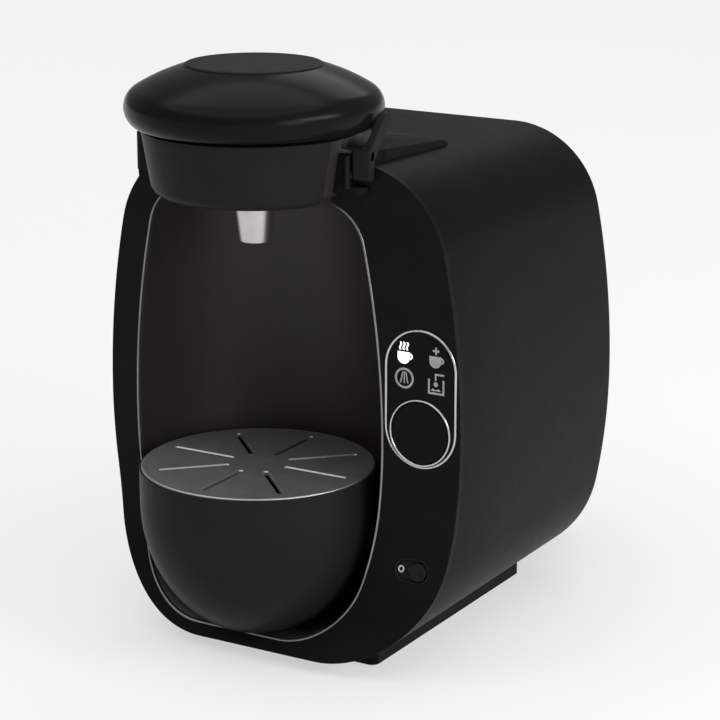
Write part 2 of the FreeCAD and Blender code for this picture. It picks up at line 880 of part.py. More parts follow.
def make_power_slider():
    x = slider_travel / 2
    base_y = switch_recess - seat_gap
    face_y = base_y - slider_height
    thumb = cylinder(x, face_y, 0, slider_radius, slider_height, Vector(0, 1, 0))
    dish_radius = slider_radius * slider_radius / (2 * slider_dish)
    thumb = thumb.cut(Part.makeSphere(dish_radius, Vector(x, face_y - dish_radius + slider_dish, 0)))
    half_width = slider_tongue_width / 2
    half_height = slider_tongue_height / 2
    tongue = box(x - half_width, x + half_width, base_y, switch_depth, -half_height, half_height)
    return switch_place(thumb.fuse(tongue).removeSplitter())


def make_switch_body():
    half_width = switch_half_width - switch_body_inset
    half_height = switch_half_height - switch_body_inset
    y0 = switch_depth + seat_gap
    parts = [box(-half_width, half_width, y0, y0 + switch_body_depth, -half_height, half_height)]
    for side in (-1, 1):
        ends = sorted((side * half_width, side * (half_width - switch_lug_width)))
        parts.append(box(ends[0], ends[1], switch_depth, y0, -switch_lug_height / 2, switch_lug_height / 2))
    return switch_place(joined(parts))


# Drip tray

def bowl_form(inset, low_z, top_z):
    """A straight upper wall over a part of an ellipse, cut level at low_z."""
    radius = bowl_radius - inset
    drop = bowl_drop - inset
    low_angle = math.asin((bowl_belly_z - low_z) / drop)

    def on_ellipse(angle):
        return Vector(radius * math.cos(angle), 0, bowl_belly_z - drop * math.sin(angle))
    belly = on_ellipse(0)
    low = on_ellipse(low_angle)
    low_heading = Vector(-radius * math.sin(low_angle), 0, -drop * math.cos(low_angle))
    curve = Part.BSplineCurve()
    curve.interpolate([belly, on_ellipse(low_angle / 2), low], InitialTangent=Vector(0, 0, -1),
                      FinalTangent=low_heading)
    top = Vector(radius, 0, top_z)
    axis_top = Vector(0, 0, top_z)
    axis_low = Vector(0, 0, low_z)
    edges = [line(axis_top, top), line(top, belly), curve.toShape()]
    edges += [line(low, axis_low), line(axis_low, axis_top)]
    return turned(edges, head_x, head_y)


def make_drip_bowl():
    outer = bowl_form(0, bowl_low_z, grate_top_z - grate_rim_height)
    inner = bowl_form(bowl_wall, bowl_low_z + bowl_wall, grate_top_z)
    wall_radius = bowl_radius - bowl_wall / 2
    ledge_radius = bowl_radius - bowl_wall - bowl_ledge
    low_z = grate_seat_z - bowl_ledge_thickness
    ledge = turned_points([(ledge_radius, low_z), (wall_radius, low_z - bowl_ledge_slope),
                           (wall_radius, grate_seat_z), (ledge_radius, grate_seat_z)], head_x, head_y)
    return outer.cut(inner).fuse(ledge).removeSplitter()


def make_drip_grate():
    rim_low_z = grate_top_z - grate_rim_height + seat_gap
    plate_top_z = grate_top_z - grate_sink
    plate_low_z = plate_top_z - grate_plate
    skirt_radius = bowl_radius - bowl_wall - seat_gap
    skirt_low_z = grate_seat_z + seat_gap
    flat_radius = grate_radius - grate_edge - grate_lip
    plate_radius = flat_radius - grate_lip_slope
    profile = [(0, plate_low_z), (plate_radius, plate_low_z), (skirt_radius - grate_skirt, skirt_low_z),
               (skirt_radius, skirt_low_z), (skirt_radius, rim_low_z), (grate_radius, rim_low_z),
               (grate_radius, grate_top_z - grate_edge), (grate_radius - grate_edge, grate_top_z),
               (flat_radius, grate_top_z), (plate_radius, plate_top_z), (0, plate_top_z)]
    grate = turned_points(profile, head_x, head_y)
    for i in range(grate_slots):
        slot = box(slot_inner_radius, slot_outer_radius, -slot_width / 2, slot_width / 2, 0, far)
        slot = slot.fuse([cylinder(slot_inner_radius, 0, 0, slot_width / 2, far),
                          cylinder(slot_outer_radius, 0, 0, slot_width / 2, far)]).removeSplitter()
        slot.rotate(Vector(), Vector(0, 0, 1), i * 360 / grate_slots)
        slot.translate(Vector(head_x, head_y, 0))
        grate = grate.cut(slot)
    return grate


# Head

def latch_notch():
    """The room for the lever beside the collar, and for its arm along the saddle."""
    plate_x = head_x + latch_inner - latch_gap
    plate_room = box(plate_x, far, -far, front_y, latch_bottom_z - latch_drop_gap, far)
    arm_x = head_x + latch_arm_inner - seat_gap
    arm_room = box(arm_x, far, -far, front_y + latch_tip_back, body_top_z, far)
    return plate_room.fuse(arm_room)


def make_head_housing():
    along = Vector(1, 0, 0)
    saddle = saddle_form()
    saddle = saddle.makeFillet(saddle_edge, edges_where(saddle, lambda p: p.z > saddle_top_z - 0.01))
    saddle = saddle.cut(body_outline().prism(front_y, rear_y))
    saddle = saddle.cut(drum_form(chamber_inset - seat_gap, drum_top_z))
    cover_front = box(-far, far, -far, front_y - drum_cover_front + seat_gap, 0, far)
    saddle = saddle.cut(drum_form(-seat_gap, drum_top_z).common(cover_front))
    saddle = saddle.cut(latch_notch())
    hinge_y = front_y + lid_hinge_back
    for side in (-1, 1):
        x0 = head_x + side * (lid_knuckle_length / 2 + seat_gap + lid_ear_width / 2) - lid_ear_width / 2
        ear = cylinder(x0, hinge_y, lid_hinge_z, lid_knuckle_radius, lid_ear_width, along)
        ear = ear.fuse(box(x0, x0 + lid_ear_width, hinge_y - lid_knuckle_radius, hinge_y + lid_knuckle_radius,
                           saddle_top_z - 1, lid_hinge_z))
        saddle = saddle.fuse(ear)
    saddle = saddle.cut(cylinder(-far, hinge_y, lid_hinge_z, lid_pin_radius, 2 * far, along))
    saddle = saddle.cut(cylinder(latch_pin_x(), latch_pivot_y, latch_pivot_z, latch_pin_radius, far, along))
    return saddle.removeSplitter()


def make_drum_cover():
    cover = drum_form(0, drum_top_z).cut(drum_form(drum_cover_wall, drum_top_z + 1, drum_cover_wall))
    cover = cover.common(box(-far, far, -far, front_y - drum_cover_front, 0, far))
    return cover.cut(cylinder(head_x, head_y, 0, nozzle_top_radius + seat_gap, far))


def make_brew_chamber():
    outer = drum_form(chamber_inset, chamber_top_z, chamber_inset)
    inner = drum_form(chamber_inset + chamber_wall, chamber_top_z + 1, chamber_inset + chamber_floor)
    flange_outer = drum_top_radius + chamber_flange
    flange_inner = drum_top_radius - chamber_inset - chamber_wall / 2
    flange = tube(head_x, head_y, saddle_top_z, flange_outer, flange_inner, chamber_flange_height)
    flange = flange.cut(box(-far, far, -far, front_y - saddle_front, 0, far)).cut(latch_notch())
    nipple_y = head_y + drum_bottom_radius - chamber_inset - chamber_nipple_bite
    nipple = tube(head_x, nipple_y, brew_nipple_z, nipple_radius, nipple_radius - hose_wall,
                  brew_nipple_end() - nipple_y, Vector(0, 1, 0))
    pot = outer.fuse([flange, nipple]).cut(inner)
    return pot.cut(cylinder(head_x, head_y, 0, nozzle_bore, far)).removeSplitter()


def brew_nipple_end():
    return head_y + drum_top_radius + nipple_length


def make_drink_nozzle():
    top_z = drum_bottom_z + chamber_inset
    collar_z = drum_bottom_z - nozzle_collar
    profile = [(nozzle_tip_bore, nozzle_tip_z), (nozzle_tip_radius - nozzle_edge, nozzle_tip_z),
               (nozzle_tip_radius, nozzle_tip_z + nozzle_edge), (nozzle_top_radius, collar_z),
               (nozzle_top_radius, top_z), (nozzle_bore, top_z)]
    return turned_points(profile, head_x, head_y)


def make_piercing_unit():
    low_z = chamber_floor_top_z
    top_z = low_z + pierce_height
    top_radius = pierce_radius - pierce_draft
    parts = [turned_points([(0, low_z), (pierce_radius, low_z), (top_radius, top_z), (0, top_z)], head_x, head_y)]
    parts.append(cylinder(head_x, head_y, low_z - chamber_floor, nozzle_bore - seat_gap, chamber_floor))
    for side in (-1, 1):
        foot = Vector(head_x + side * pierce_needle_x, head_y, top_z)
        parts.append(Part.makeCone(pierce_needle_radius, pierce_needle_tip, pierce_needle_height, foot))
    return joined(parts).cut(cylinder(head_x, head_y, 0, pierce_bore, far))


def holder_radius():
    slope = (drum_top_radius - drum_bottom_radius) / (drum_top_z - drum_bottom_z)
    return drum_bottom_radius + slope * (holder_z - drum_bottom_z) - chamber_inset - chamber_wall - seat_gap


def make_disc_holder():
    outer = holder_radius()
    top_z = holder_z + holder_thickness
    seat_z = holder_z + holder_thickness / 2
    rim_z = top_z + holder_rim_height
    rim_radius = holder_seat_radius + holder_rim
    mouth = holder_seat_radius - holder_seat_width
    profile = [(mouth, holder_z), (outer, holder_z), (outer, top_z), (rim_radius, top_z), (rim_radius, rim_z),
               (holder_seat_radius, rim_z), (holder_seat_radius, seat_z), (mouth, seat_z)]
    return turned_points(profile, head_x, head_y).cut(code_window_block(0, holder_z - 1, far))


def code_window_block(shrink, z0, z1):
    y0 = head_y + holder_seat_radius + holder_rim + code_window_gap
    y1 = y0 + code_window_width
    half = code_window_length / 2 - shrink
    return box(head_x - half, head_x + half, y0 + shrink, y1 - shrink, z0, z1)


def make_code_window():
    return code_window_block(trim_fit, holder_z, holder_z + holder_thickness)


# Lid

def lid_profile(inset):
    disc = Vector(lid_disc_radius, 0, lid_top_z - lid_disc_proud - inset)
    rim = Vector(lid_rim_radius - inset, 0, lid_rim_z)
    foot = Vector(lid_foot_radius - inset, 0, lid_bottom_z)
    dome_mid = bulged(disc, rim, lid_dome_bulge)
    rim_mid = bulged(rim, foot, lid_rim_bulge)
    return disc, dome_mid, rim, rim_mid, foot


def bulged(a, b, bulge):
    """The middle of an arc from a to b that stands out by bulge from the straight line."""
    along = b - a
    outwards = Vector(-along.z, 0, along.x).normalize()
    if outwards.x < 0:
        outwards = outwards * -1
    return (a + b) * 0.5 + outwards * bulge


def lid_solid(inset):
    disc, dome_mid, rim, rim_mid, foot = lid_profile(inset)
    axis_top = Vector(0, 0, disc.z)
    axis_low = Vector(0, 0, foot.z)
    edges = [line(axis_top, disc), arc(disc, dome_mid, rim), arc(rim, rim_mid, foot), line(foot, axis_low)]
    edges.append(line(axis_low, axis_top))
    return turned(edges, head_x, head_y)


def make_brew_lid():
    along = Vector(1, 0, 0)
    spigot_z = lid_hub_z() - lid_spigot_height
    spigot = tube(head_x, head_y, spigot_z, press_hub_radius, press_hub_radius - lid_spigot_wall,
                  lid_spigot_height + lid_wall / 2)
    lid = lid_solid(0).cut(lid_solid(lid_wall)).fuse(spigot)
    lid = lid.cut(cylinder(head_x, head_y, lid_top_z - lid_disc_height, lid_disc_radius, far))
    hinge_y = front_y + lid_hinge_back
    x0 = head_x - lid_knuckle_length / 2
    knuckle = cylinder(x0, hinge_y, lid_hinge_z, lid_knuckle_radius, lid_knuckle_length, along)
    lug_y = head_y + lid_foot_radius - 2 * lid_wall
    reach = lid_knuckle_radius - lid_knuckle_skin
    lug = polygon_prism([Vector(x0, lug_y, lid_bottom_z), Vector(x0, hinge_y, lid_hinge_z - reach),
                         Vector(x0, hinge_y + reach, lid_hinge_z), Vector(x0, hinge_y, lid_hinge_z + reach),
                         Vector(x0, lug_y, lid_rim_z)], Vector(lid_knuckle_length, 0, 0))
    plate_room = cylinder(head_x, head_y, 0, lid_foot_radius - lid_wall, lid_bottom_z)
    lid = lid.fuse([lug.cut(lid_solid(lid_wall)).cut(plate_room), knuckle])
    bore = cylinder(-far, hinge_y, lid_hinge_z, lid_pin_radius + pin_clearance, 2 * far, along)
    return lid.cut(bore).removeSplitter()


def lid_hub_z():
    """Where the underside of the lid's top lies, over the press plate's hub."""
    return lid_top_z - lid_disc_proud - lid_wall


def make_lid_top_disc():
    low_z = lid_top_z - lid_disc_height
    return turned_points([(0, low_z), (lid_disc_radius, low_z), (lid_disc_radius, lid_top_z - lid_disc_edge),
                          (lid_disc_radius - lid_disc_edge, lid_top_z), (0, lid_top_z)], head_x, head_y)


def make_press_plate():
    low_z = press_plate_bottom_z
    floor_top_z = low_z + press_plate_wall
    deck_top_z = low_z + press_plate_height + press_deck / 2
    deck_low_z = deck_top_z - press_deck
    hub_top_z = lid_hub_z() - lid_spigot_height
    inner = press_plate_radius - press_plate_wall
    deck_radius = lid_foot_radius - lid_wall
    profile = [(0, low_z), (press_plate_radius - press_plate_edge, low_z),
               (press_plate_radius, low_z + press_plate_edge), (press_plate_radius, deck_low_z),
               (deck_radius, deck_low_z), (deck_radius, deck_top_z), (inner, deck_top_z), (inner, floor_top_z),
               (press_hub_radius, floor_top_z), (press_hub_radius, hub_top_z), (0, hub_top_z)]
    plate = turned_points(profile, head_x, head_y)
    plate = plate.common(lid_solid(lid_wall).fuse(cylinder(head_x, head_y, 0, deck_radius, lid_bottom_z)))
    groove_outer = press_seal_radius + press_seal_width / 2
    groove = tube(head_x, head_y, low_z, groove_outer, groove_outer - press_seal_width, press_seal_height / 2)
    return plate.cut(groove).removeSplitter()


def make_press_seal():
    outer = press_seal_radius + press_seal_width / 2
    low_z = press_plate_bottom_z - press_seal_height / 2
    return tube(head_x, head_y, low_z, outer, outer - press_seal_width, press_seal_height)


def make_lid_pin():
    length = lid_knuckle_length + 2 * seat_gap + 2 * lid_ear_width
    hinge_y = front_y + lid_hinge_back
    return cylinder(head_x - length / 2, hinge_y, lid_hinge_z, lid_pin_radius, length, Vector(1, 0, 0))


# Latch

def make_latch_lever():
    y0 = front_y - latch_front
    y1 = y0 + latch_thickness

    def at(y, z):
        return Vector(head_x + latch_inner, y, z)
    edges = [arc(at(y0, latch_pivot_z), at(latch_pivot_y, latch_bottom_z), at(y1, latch_pivot_z))]
    edges.append(line(at(y1, latch_pivot_z), at(y1, latch_top_z)))
    edges.append(line(at(y1, latch_top_z), at(y0, latch_top_z)))
    edges.append(line(at(y0, latch_top_z), at(y0, latch_pivot_z)))
    plate = Part.Face(Part.Wire(edges)).extrude(Vector(latch_outer - latch_inner, 0, 0))
    root_z = latch_top_z - latch_arm_depth
    tip_y = front_y + latch_tip_back
    arm = polygon_prism([at(y0, root_z), at(y0 + latch_tip_edge, latch_top_z),
                         at(tip_y - latch_arm_depth, latch_tip_z), at(tip_y, latch_tip_z - latch_tip_edge),
                         at(tip_y - latch_tip_edge, latch_tip_z - latch_tip_depth), at(y1, root_z)],
                        Vector(latch_outer - latch_arm_inner, 0, 0))
    arm.translate(Vector(latch_arm_inner - latch_inner, 0, 0))
    corner = edges_where(plate, lambda p: p.x > head_x + latch_outer - 0.01 and p.y < y0 + 0.01)
    lever = plate.makeFillet(latch_side_radius, corner).fuse(arm).removeSplitter()
    bore = latch_pin_radius + pin_clearance
    return lever.cut(cylinder(-far, latch_pivot_y, latch_pivot_z, bore, 2 * far, Vector(1, 0, 0)))


def latch_pin_x():
    return head_x + latch_inner - latch_gap - latch_pin_bite


def make_latch_pin():
    length = head_x + latch_outer - latch_side_radius - latch_pin_x()
    return cylinder(latch_pin_x(), latch_pivot_y, latch_pivot_z, latch_pin_radius, length, Vector(1, 0, 0))


def make_latch_spring():
    return tube(head_x + latch_inner - latch_gap, latch_pivot_y, latch_pivot_z, latch_spring_radius,
                latch_spring_bore, latch_gap - seat_gap, Vector(1, 0, 0))


# Rear panel, dock and tank

def tank_plan(inset, z0, z1):
    half = tank_half_width - inset
    return plan_prism(-half, half, tank_front_y + inset, tank_rear_y - inset,
                      tank_front_radius - inset, tank_rear_radius - inset, z0, z1)


def make_rear_panel():
    along = Vector(0, 1, 0)
    y0 = rear_y - far / 4
    flange_y = rear_y - shell_wall - rear_panel_flange
    plug = body_outline(rear_inset + trim_fit).prism(rear_y - shell_wall, rear_y)
    flange = body_outline(rear_inset - rear_lap).prism(flange_y, rear_y - shell_wall)
    panel = plug.fuse(flange).removeSplitter()
    panel = panel.cut(cylinder(0, y0, spigot_z, dock_spigot_radius + trim_fit, far / 2, along))
    panel = panel.cut(cylinder(gland_x, y0, gland_z, gland_radius, far / 2, along))
    for x, z in rear_screw_places():
        panel = panel.cut(cylinder(x, y0, z, screw_radius, far / 2, along))
    for i in range(vent_rows):
        z = body_top_z - rear_inset - vent_drop - i * vent_pitch
        panel = panel.cut(stadium(vent_half_length, vent_half_height, 0, z, y0, rear_y + 1))
    return panel


def rear_screw_places():
    return [(side * rear_screw_x, z) for side in (-1, 1) for z in (rear_screw_low_z, rear_screw_high_z)]


def make_rear_screws():
    along = Vector(0, 1, 0)
    screws = []
    for x, z in rear_screw_places():
        head = cylinder(x, rear_y, z, screw_head_radius, screw_head_height, along)
        shank = cylinder(x, rear_y - rear_screw_length, z, screw_radius, rear_screw_length, along)
        screws.append(head.fuse(shank).removeSplitter())
    return Part.makeCompound(screws)


def make_tank_dock():
    along = Vector(0, 1, 0)
    low_z = dock_top_z - dock_thickness
    neck_y = rear_y + dock_neck
    neck = box(-tank_half_width, tank_half_width, rear_y, tank_front_y + tank_front_radius, low_z, dock_top_z)
    dock = tank_plan(0, low_z, dock_top_z).fuse(neck).removeSplitter()
    rear_low_z = dock_top_z - dock_rear_thickness
    dock = dock.cut(polygon_prism([Vector(-far, neck_y, low_z - 1), Vector(-far, tank_rear_y, low_z - 1),
                                   Vector(-far, tank_rear_y, rear_low_z), Vector(-far, neck_y, low_z)],
                                  Vector(2 * far, 0, 0)))
    for side in (-1, 1):
        x = side * dock_gusset_x - dock_gusset_width / 2
        dock = dock.fuse(polygon_prism([Vector(x, rear_y, low_z - dock_gusset_drop), Vector(x, neck_y, low_z),
                                        Vector(x, rear_y, low_z)], Vector(dock_gusset_width, 0, 0)))
    dock = dock.cut(cylinder(0, valve_y, well_floor_z, valve_radius + dock_well_gap, far))
    dock = dock.fuse(cylinder(0, spigot_y, spigot_z, dock_spigot_radius, dock_spigot_inside, along))
    bore = cylinder(0, spigot_y, spigot_z, dock_spigot_radius - hose_wall, valve_y - spigot_y, along)
    return dock.cut(bore).removeSplitter()


def make_dock_seal():
    inner = dock_seal_radius - dock_seal_width
    return tube(0, valve_y, well_floor_z, dock_seal_radius, inner, dock_seal_height)


def make_cord_gland():
    along = Vector(0, 1, 0)
    flange_radius = gland_radius + gland_flange
    nut_y = rear_y - shell_wall - rear_panel_flange - gland_nut
    barrel = cylinder(gland_x, rear_y - gland_length, gland_z, gland_radius, gland_length, along)
    flange = cylinder(gland_x, rear_y, gland_z, flange_radius, gland_flange_thickness, along)
    nut = cylinder(gland_x, nut_y, gland_z, flange_radius, gland_nut, along)
    gland = joined([barrel, flange, nut])
    return gland.cut(cylinder(gland_x, rear_y - far / 4, gland_z, gland_bore, far / 2, along))


def make_water_tank():
    along = Vector(1, 0, 0)
    floor_top_z = tank_bottom_z + tank_wall
    outer = tank_plan(0, tank_bottom_z, tank_top_z)
    outer = outer.makeFillet(tank_edge, edges_where(outer, lambda p: p.z < tank_bottom_z + 0.01))
    inner = tank_plan(tank_wall, floor_top_z, tank_top_z + 1)
    inner = inner.makeFillet(tank_edge - tank_wall, edges_where(inner, lambda p: p.z < floor_top_z + 0.01))
    post_height = float_stop + seat_gap + float_height + float_travel
    root_z = tank_bottom_z + tank_wall / 2
    stop_radius = float_post_radius + float_stop_width
    parts = [outer.cut(inner)]
    parts.append(cylinder(float_x, valve_y, root_z, float_post_radius, post_height))
    parts.append(cylinder(float_x, valve_y, root_z, stop_radius, tank_wall / 2 + float_stop))
    for side in (-1, 1):
        x0 = side * (tank_hinge_length / 2 + seat_gap + tank_ear_width / 2) - tank_ear_width / 2
        parts.append(cylinder(x0, tank_hinge_y, tank_hinge_z, tank_hinge_radius, tank_ear_width, along))
        foot_z = tank_hinge_z - tank_ear_drop
        parts.append(polygon_prism([Vector(x0, tank_hinge_y - tank_hinge_radius, tank_hinge_z),
                                    Vector(x0, tank_hinge_y + tank_hinge_radius, tank_hinge_z),
                                    Vector(x0, tank_rear_y - tank_wall / 2, foot_z),
                                    Vector(x0, tank_rear_y - tank_wall, foot_z)], Vector(tank_ear_width, 0, 0)))
    tank = joined(parts)
    tank = tank.cut(cylinder(-far, tank_hinge_y, tank_hinge_z, tank_hinge_pin, 2 * far, along))
    return tank.cut(cylinder(0, valve_y, 0, valve_radius - valve_neck, floor_top_z + 1)).removeSplitter()


def make_tank_valve():
    flange_z = tank_bottom_z + tank_wall
    top_z = flange_z + valve_flange_height
    tip_z = tank_bottom_z - valve_length
    neck = valve_radius - valve_neck
    profile = [(0, top_z), (valve_flange_radius, top_z), (valve_flange_radius, flange_z), (neck, flange_z),
               (neck, tank_bottom_z), (valve_radius, tank_bottom_z), (valve_radius, tip_z + valve_edge),
               (valve_radius - valve_edge, tip_z), (0, tip_z)]
    return turned_points(profile, 0, valve_y)


def make_tank_lid():
    along = Vector(1, 0, 0)
    low_z = tank_top_z + seat_gap
    top_z = low_z + tank_lid_thickness
    lid = tank_plan(0, low_z, top_z)
    lid = lid.makeFillet(tank_lid_thickness / 2, edges_where(lid, lambda p: p.z > top_z - 0.01))
    skirt_inset = tank_wall + 2 * seat_gap
    skirt = tank_plan(skirt_inset, low_z - tank_lid_skirt, low_z)
    skirt = skirt.cut(tank_plan(skirt_inset + tank_wall, low_z - tank_lid_skirt, low_z))
    skirt = skirt.cut(box(-far, far, tank_hinge_y - 3 * tank_hinge_radius, far, 0, far))
    lid = lid.fuse(skirt).cut(box(-far, far, tank_hinge_y, far, 0, far))
    half = tank_hinge_length / 2
    ear_reach = half + 2 * seat_gap + tank_ear_width
    ear_y = tank_hinge_y - tank_hinge_radius - tank_hinge_gap
    lid = lid.cut(box(-ear_reach, ear_reach, ear_y, far, 0, far))
    knuckle = cylinder(-half, tank_hinge_y, tank_hinge_z, tank_hinge_radius, tank_hinge_length, along)
    web = box(-half, half, ear_y - tank_hinge_gap, tank_hinge_y, low_z + tank_lid_thickness / 4, top_z)
    lid = joined([lid, knuckle, web])
    return lid.cut(cylinder(-far, tank_hinge_y, tank_hinge_z, tank_hinge_pin + pin_clearance, 2 * far, along))


def make_tank_lid_pin():
    length = tank_hinge_length + 2 * seat_gap + 2 * tank_ear_width
    return cylinder(-length / 2, tank_hinge_y, tank_hinge_z, tank_hinge_pin, length, Vector(1, 0, 0))


def make_tank_float():
    low_z = tank_bottom_z + tank_wall + float_stop + seat_gap
    ring = tube(float_x, valve_y, low_z, float_radius, float_post_radius + seat_gap, float_height)
    outer_edges = [edge for edge in ring.Edges if edge.Length > 1.9 * math.pi * float_radius]
    return ring.makeFillet(float_edge, outer_edges)


# Works

def make_inner_frame():
    parts = [box(-far, far, frame_y0, frame_y1, 0, frame_top_z)]
    heater_y1 = heater_y0 + heater_depth
    parts.append(box(heater_rib_x, heater_rib_x + frame_rib, heater_y0, heater_y1, 0, heater_top_z))
    board_y0 = frame_y0 + board_rib_front
    parts.append(box(board_rib_x, board_rib_x + frame_rib, board_y0, frame_y1, 0, board_rib_top_z))
    for x in mount_places():
        parts.append(box(x - mount_width / 2, x + mount_width / 2, pump_y - mount_half_depth,
                         pump_y + mount_half_depth, 0, pump_z - pump_radius - mount_height))
    for x, y in screw_places():
        parts.append(cylinder(x, y, 0, boss_radius, floor_z + boss_height))
    frame = joined(parts).common(shell_inner())
    for x, y in screw_places():
        frame = frame.cut(cylinder(x, y, 0, screw_radius, foot_proud + screw_head_height + screw_length))
    hose_room = nipple_radius + hose_wall + seat_gap
    return frame.cut(cylinder(heater_rib_x - 1, pump_y, pump_z, hose_room, frame_rib + 2, Vector(1, 0, 0)))


def mount_places():
    return [side * (pump_half_length - mount_width / 2) for side in (-1, 1)]


def make_pump():
    along = Vector(1, 0, 0)
    barrel = cylinder(-pump_half_length, pump_y, pump_z, pump_radius, 2 * pump_half_length, along)
    coil = box(-coil_half_length, coil_half_length, pump_y - coil_half_height, pump_y + coil_half_height,
               pump_z - coil_half_height, pump_z + coil_half_height)
    long_edges = [e for e in coil.Edges if abs(e.Vertexes[0].Point.x - e.Vertexes[1].Point.x) > 1]
    coil = coil.makeFillet(coil_corner, long_edges)
    outlet_x = heater_rib_x + frame_rib + seat_gap
    length = pump_half_length + nipple_length - outlet_x
    nipples = cylinder(outlet_x, pump_y, pump_z, nipple_radius, length, along)
    return joined([barrel, coil, nipples])


def make_pump_mounts():
    mounts = []
    low_z = pump_z - pump_radius - mount_height
    half = mount_width / 2
    for x in mount_places():
        block = box(x - half, x + half, pump_y - mount_half_depth, pump_y + mount_half_depth,
                    low_z, low_z + mount_height + mount_cradle)
        mounts.append(block.cut(cylinder(-far, pump_y, pump_z, pump_radius, 2 * far, Vector(1, 0, 0))))
    return Part.makeCompound(mounts)


def heater_middle():
    return heater_rib_x - heater_width / 2, heater_y0 + heater_depth / 2


def make_flow_heater():
    x, y = heater_middle()
    x0 = heater_rib_x - heater_width
    block = box(x0, heater_rib_x, heater_y0, heater_y0 + heater_depth, heater_bottom_z, heater_top_z)
    upright = [e for e in block.Edges if abs(e.Vertexes[0].Point.z - e.Vertexes[1].Point.z) > 1]
    block = block.makeFillet(heater_corner, upright)
    for i in range(heater_fins):
        z = heater_bottom_z + heater_height * (i + 1) / (heater_fins + 1)
        half = heater_fin_gap / 2
        block = block.cut(box(x0 - 1, x0 + heater_fin_depth, -far, far, z - half, z + half))
    outlet = cylinder(x, y, heater_top_z - 1, heater_tube_radius, nipple_length + 1)
    return block.fuse(outlet).removeSplitter()


def make_pressure_hose():
    length = -pump_half_length - heater_rib_x
    outer = nipple_radius + hose_wall
    return tube(heater_rib_x, pump_y, pump_z, outer, nipple_radius, length, Vector(1, 0, 0))


def make_flow_meter():
    top_z = frame_top_z + meter_height
    body = cylinder(0, meter_y, frame_top_z, meter_radius, meter_height)
    body = body.makeFillet(meter_edge, edges_where(body, lambda p: p.z > top_z - 0.01))
    inlet = cylinder(0, meter_y, spigot_z, dock_spigot_radius, spigot_y - seat_gap - meter_y, Vector(0, 1, 0))
    outlet = cylinder(0, meter_y, spigot_z, nipple_radius, meter_radius + nipple_length, Vector(1, 0, 0))
    return joined([body, inlet, outlet])


def make_suction_hose():
    return tube(0, spigot_y - hose_overlap, spigot_z, dock_spigot_radius + hose_wall, dock_spigot_radius,
                2 * hose_overlap, Vector(0, 1, 0))


def make_feed_hose():
    x = board_rib_x - nipple_radius - 2 * hose_wall - 2 * seat_gap
    points = [Vector(meter_radius + seat_gap, meter_y, spigot_z), Vector(x, meter_y, spigot_z),
              Vector(x, pump_y, pump_z), Vector(pump_half_length + seat_gap, pump_y, pump_z)]
    return hose(points, nipple_radius, hose_wall, hose_bend)


def make_brew_hose():
    x, y = heater_middle()
    end_y = brew_nipple_end() - nipple_length + hose_wall
    points = [Vector(x, y, heater_top_z + seat_gap), Vector(x, y, brew_nipple_z),
              Vector(head_x, y, brew_nipple_z), Vector(head_x, end_y, brew_nipple_z)]
    return hose(points, heater_tube_radius, hose_wall, brew_hose_bend)


def make_control_board():
    along = Vector(1, 0, 0)
    x0 = board_rib_x + frame_rib
    x1 = x0 + control_board_standoff
    face = x1 + board_thickness
    y0 = frame_y0 + control_board_front
    y1 = frame_y1 - control_board_margin
    z0 = control_board_bottom_z
    z1 = board_rib_top_z - control_board_margin
    parts = [box(x1, face, y0, y1, z0, z1)]
    for y in (y0 + control_board_margin, y1 - control_board_margin):
        for z in (z0 + control_board_margin, z1 - control_board_margin):
            parts.append(cylinder(x0, y, z, standoff_radius, control_board_standoff, along))
    low_z = z0 + relay_lift
    relay_y = y0 + 2 * control_board_margin
    parts.append(box(face, face + relay_height, relay_y, relay_y + relay_size, low_z, low_z + relay_size))
    coil_y = relay_y + relay_size + control_board_margin
    parts.append(box(face, face + transformer_height, coil_y, y1 - control_board_margin, low_z,
                     low_z + transformer_rise))
    parts.append(cylinder(face, relay_y + capacitor_radius, z0 + capacitor_lift, capacitor_radius,
                          capacitor_height, along))
    connector_z = z1 - 3 * control_board_margin
    parts.append(box(face, face + connector_height, relay_y, y1 - control_board_margin,
                     connector_z - connector_width, connector_z))
    return joined(parts)


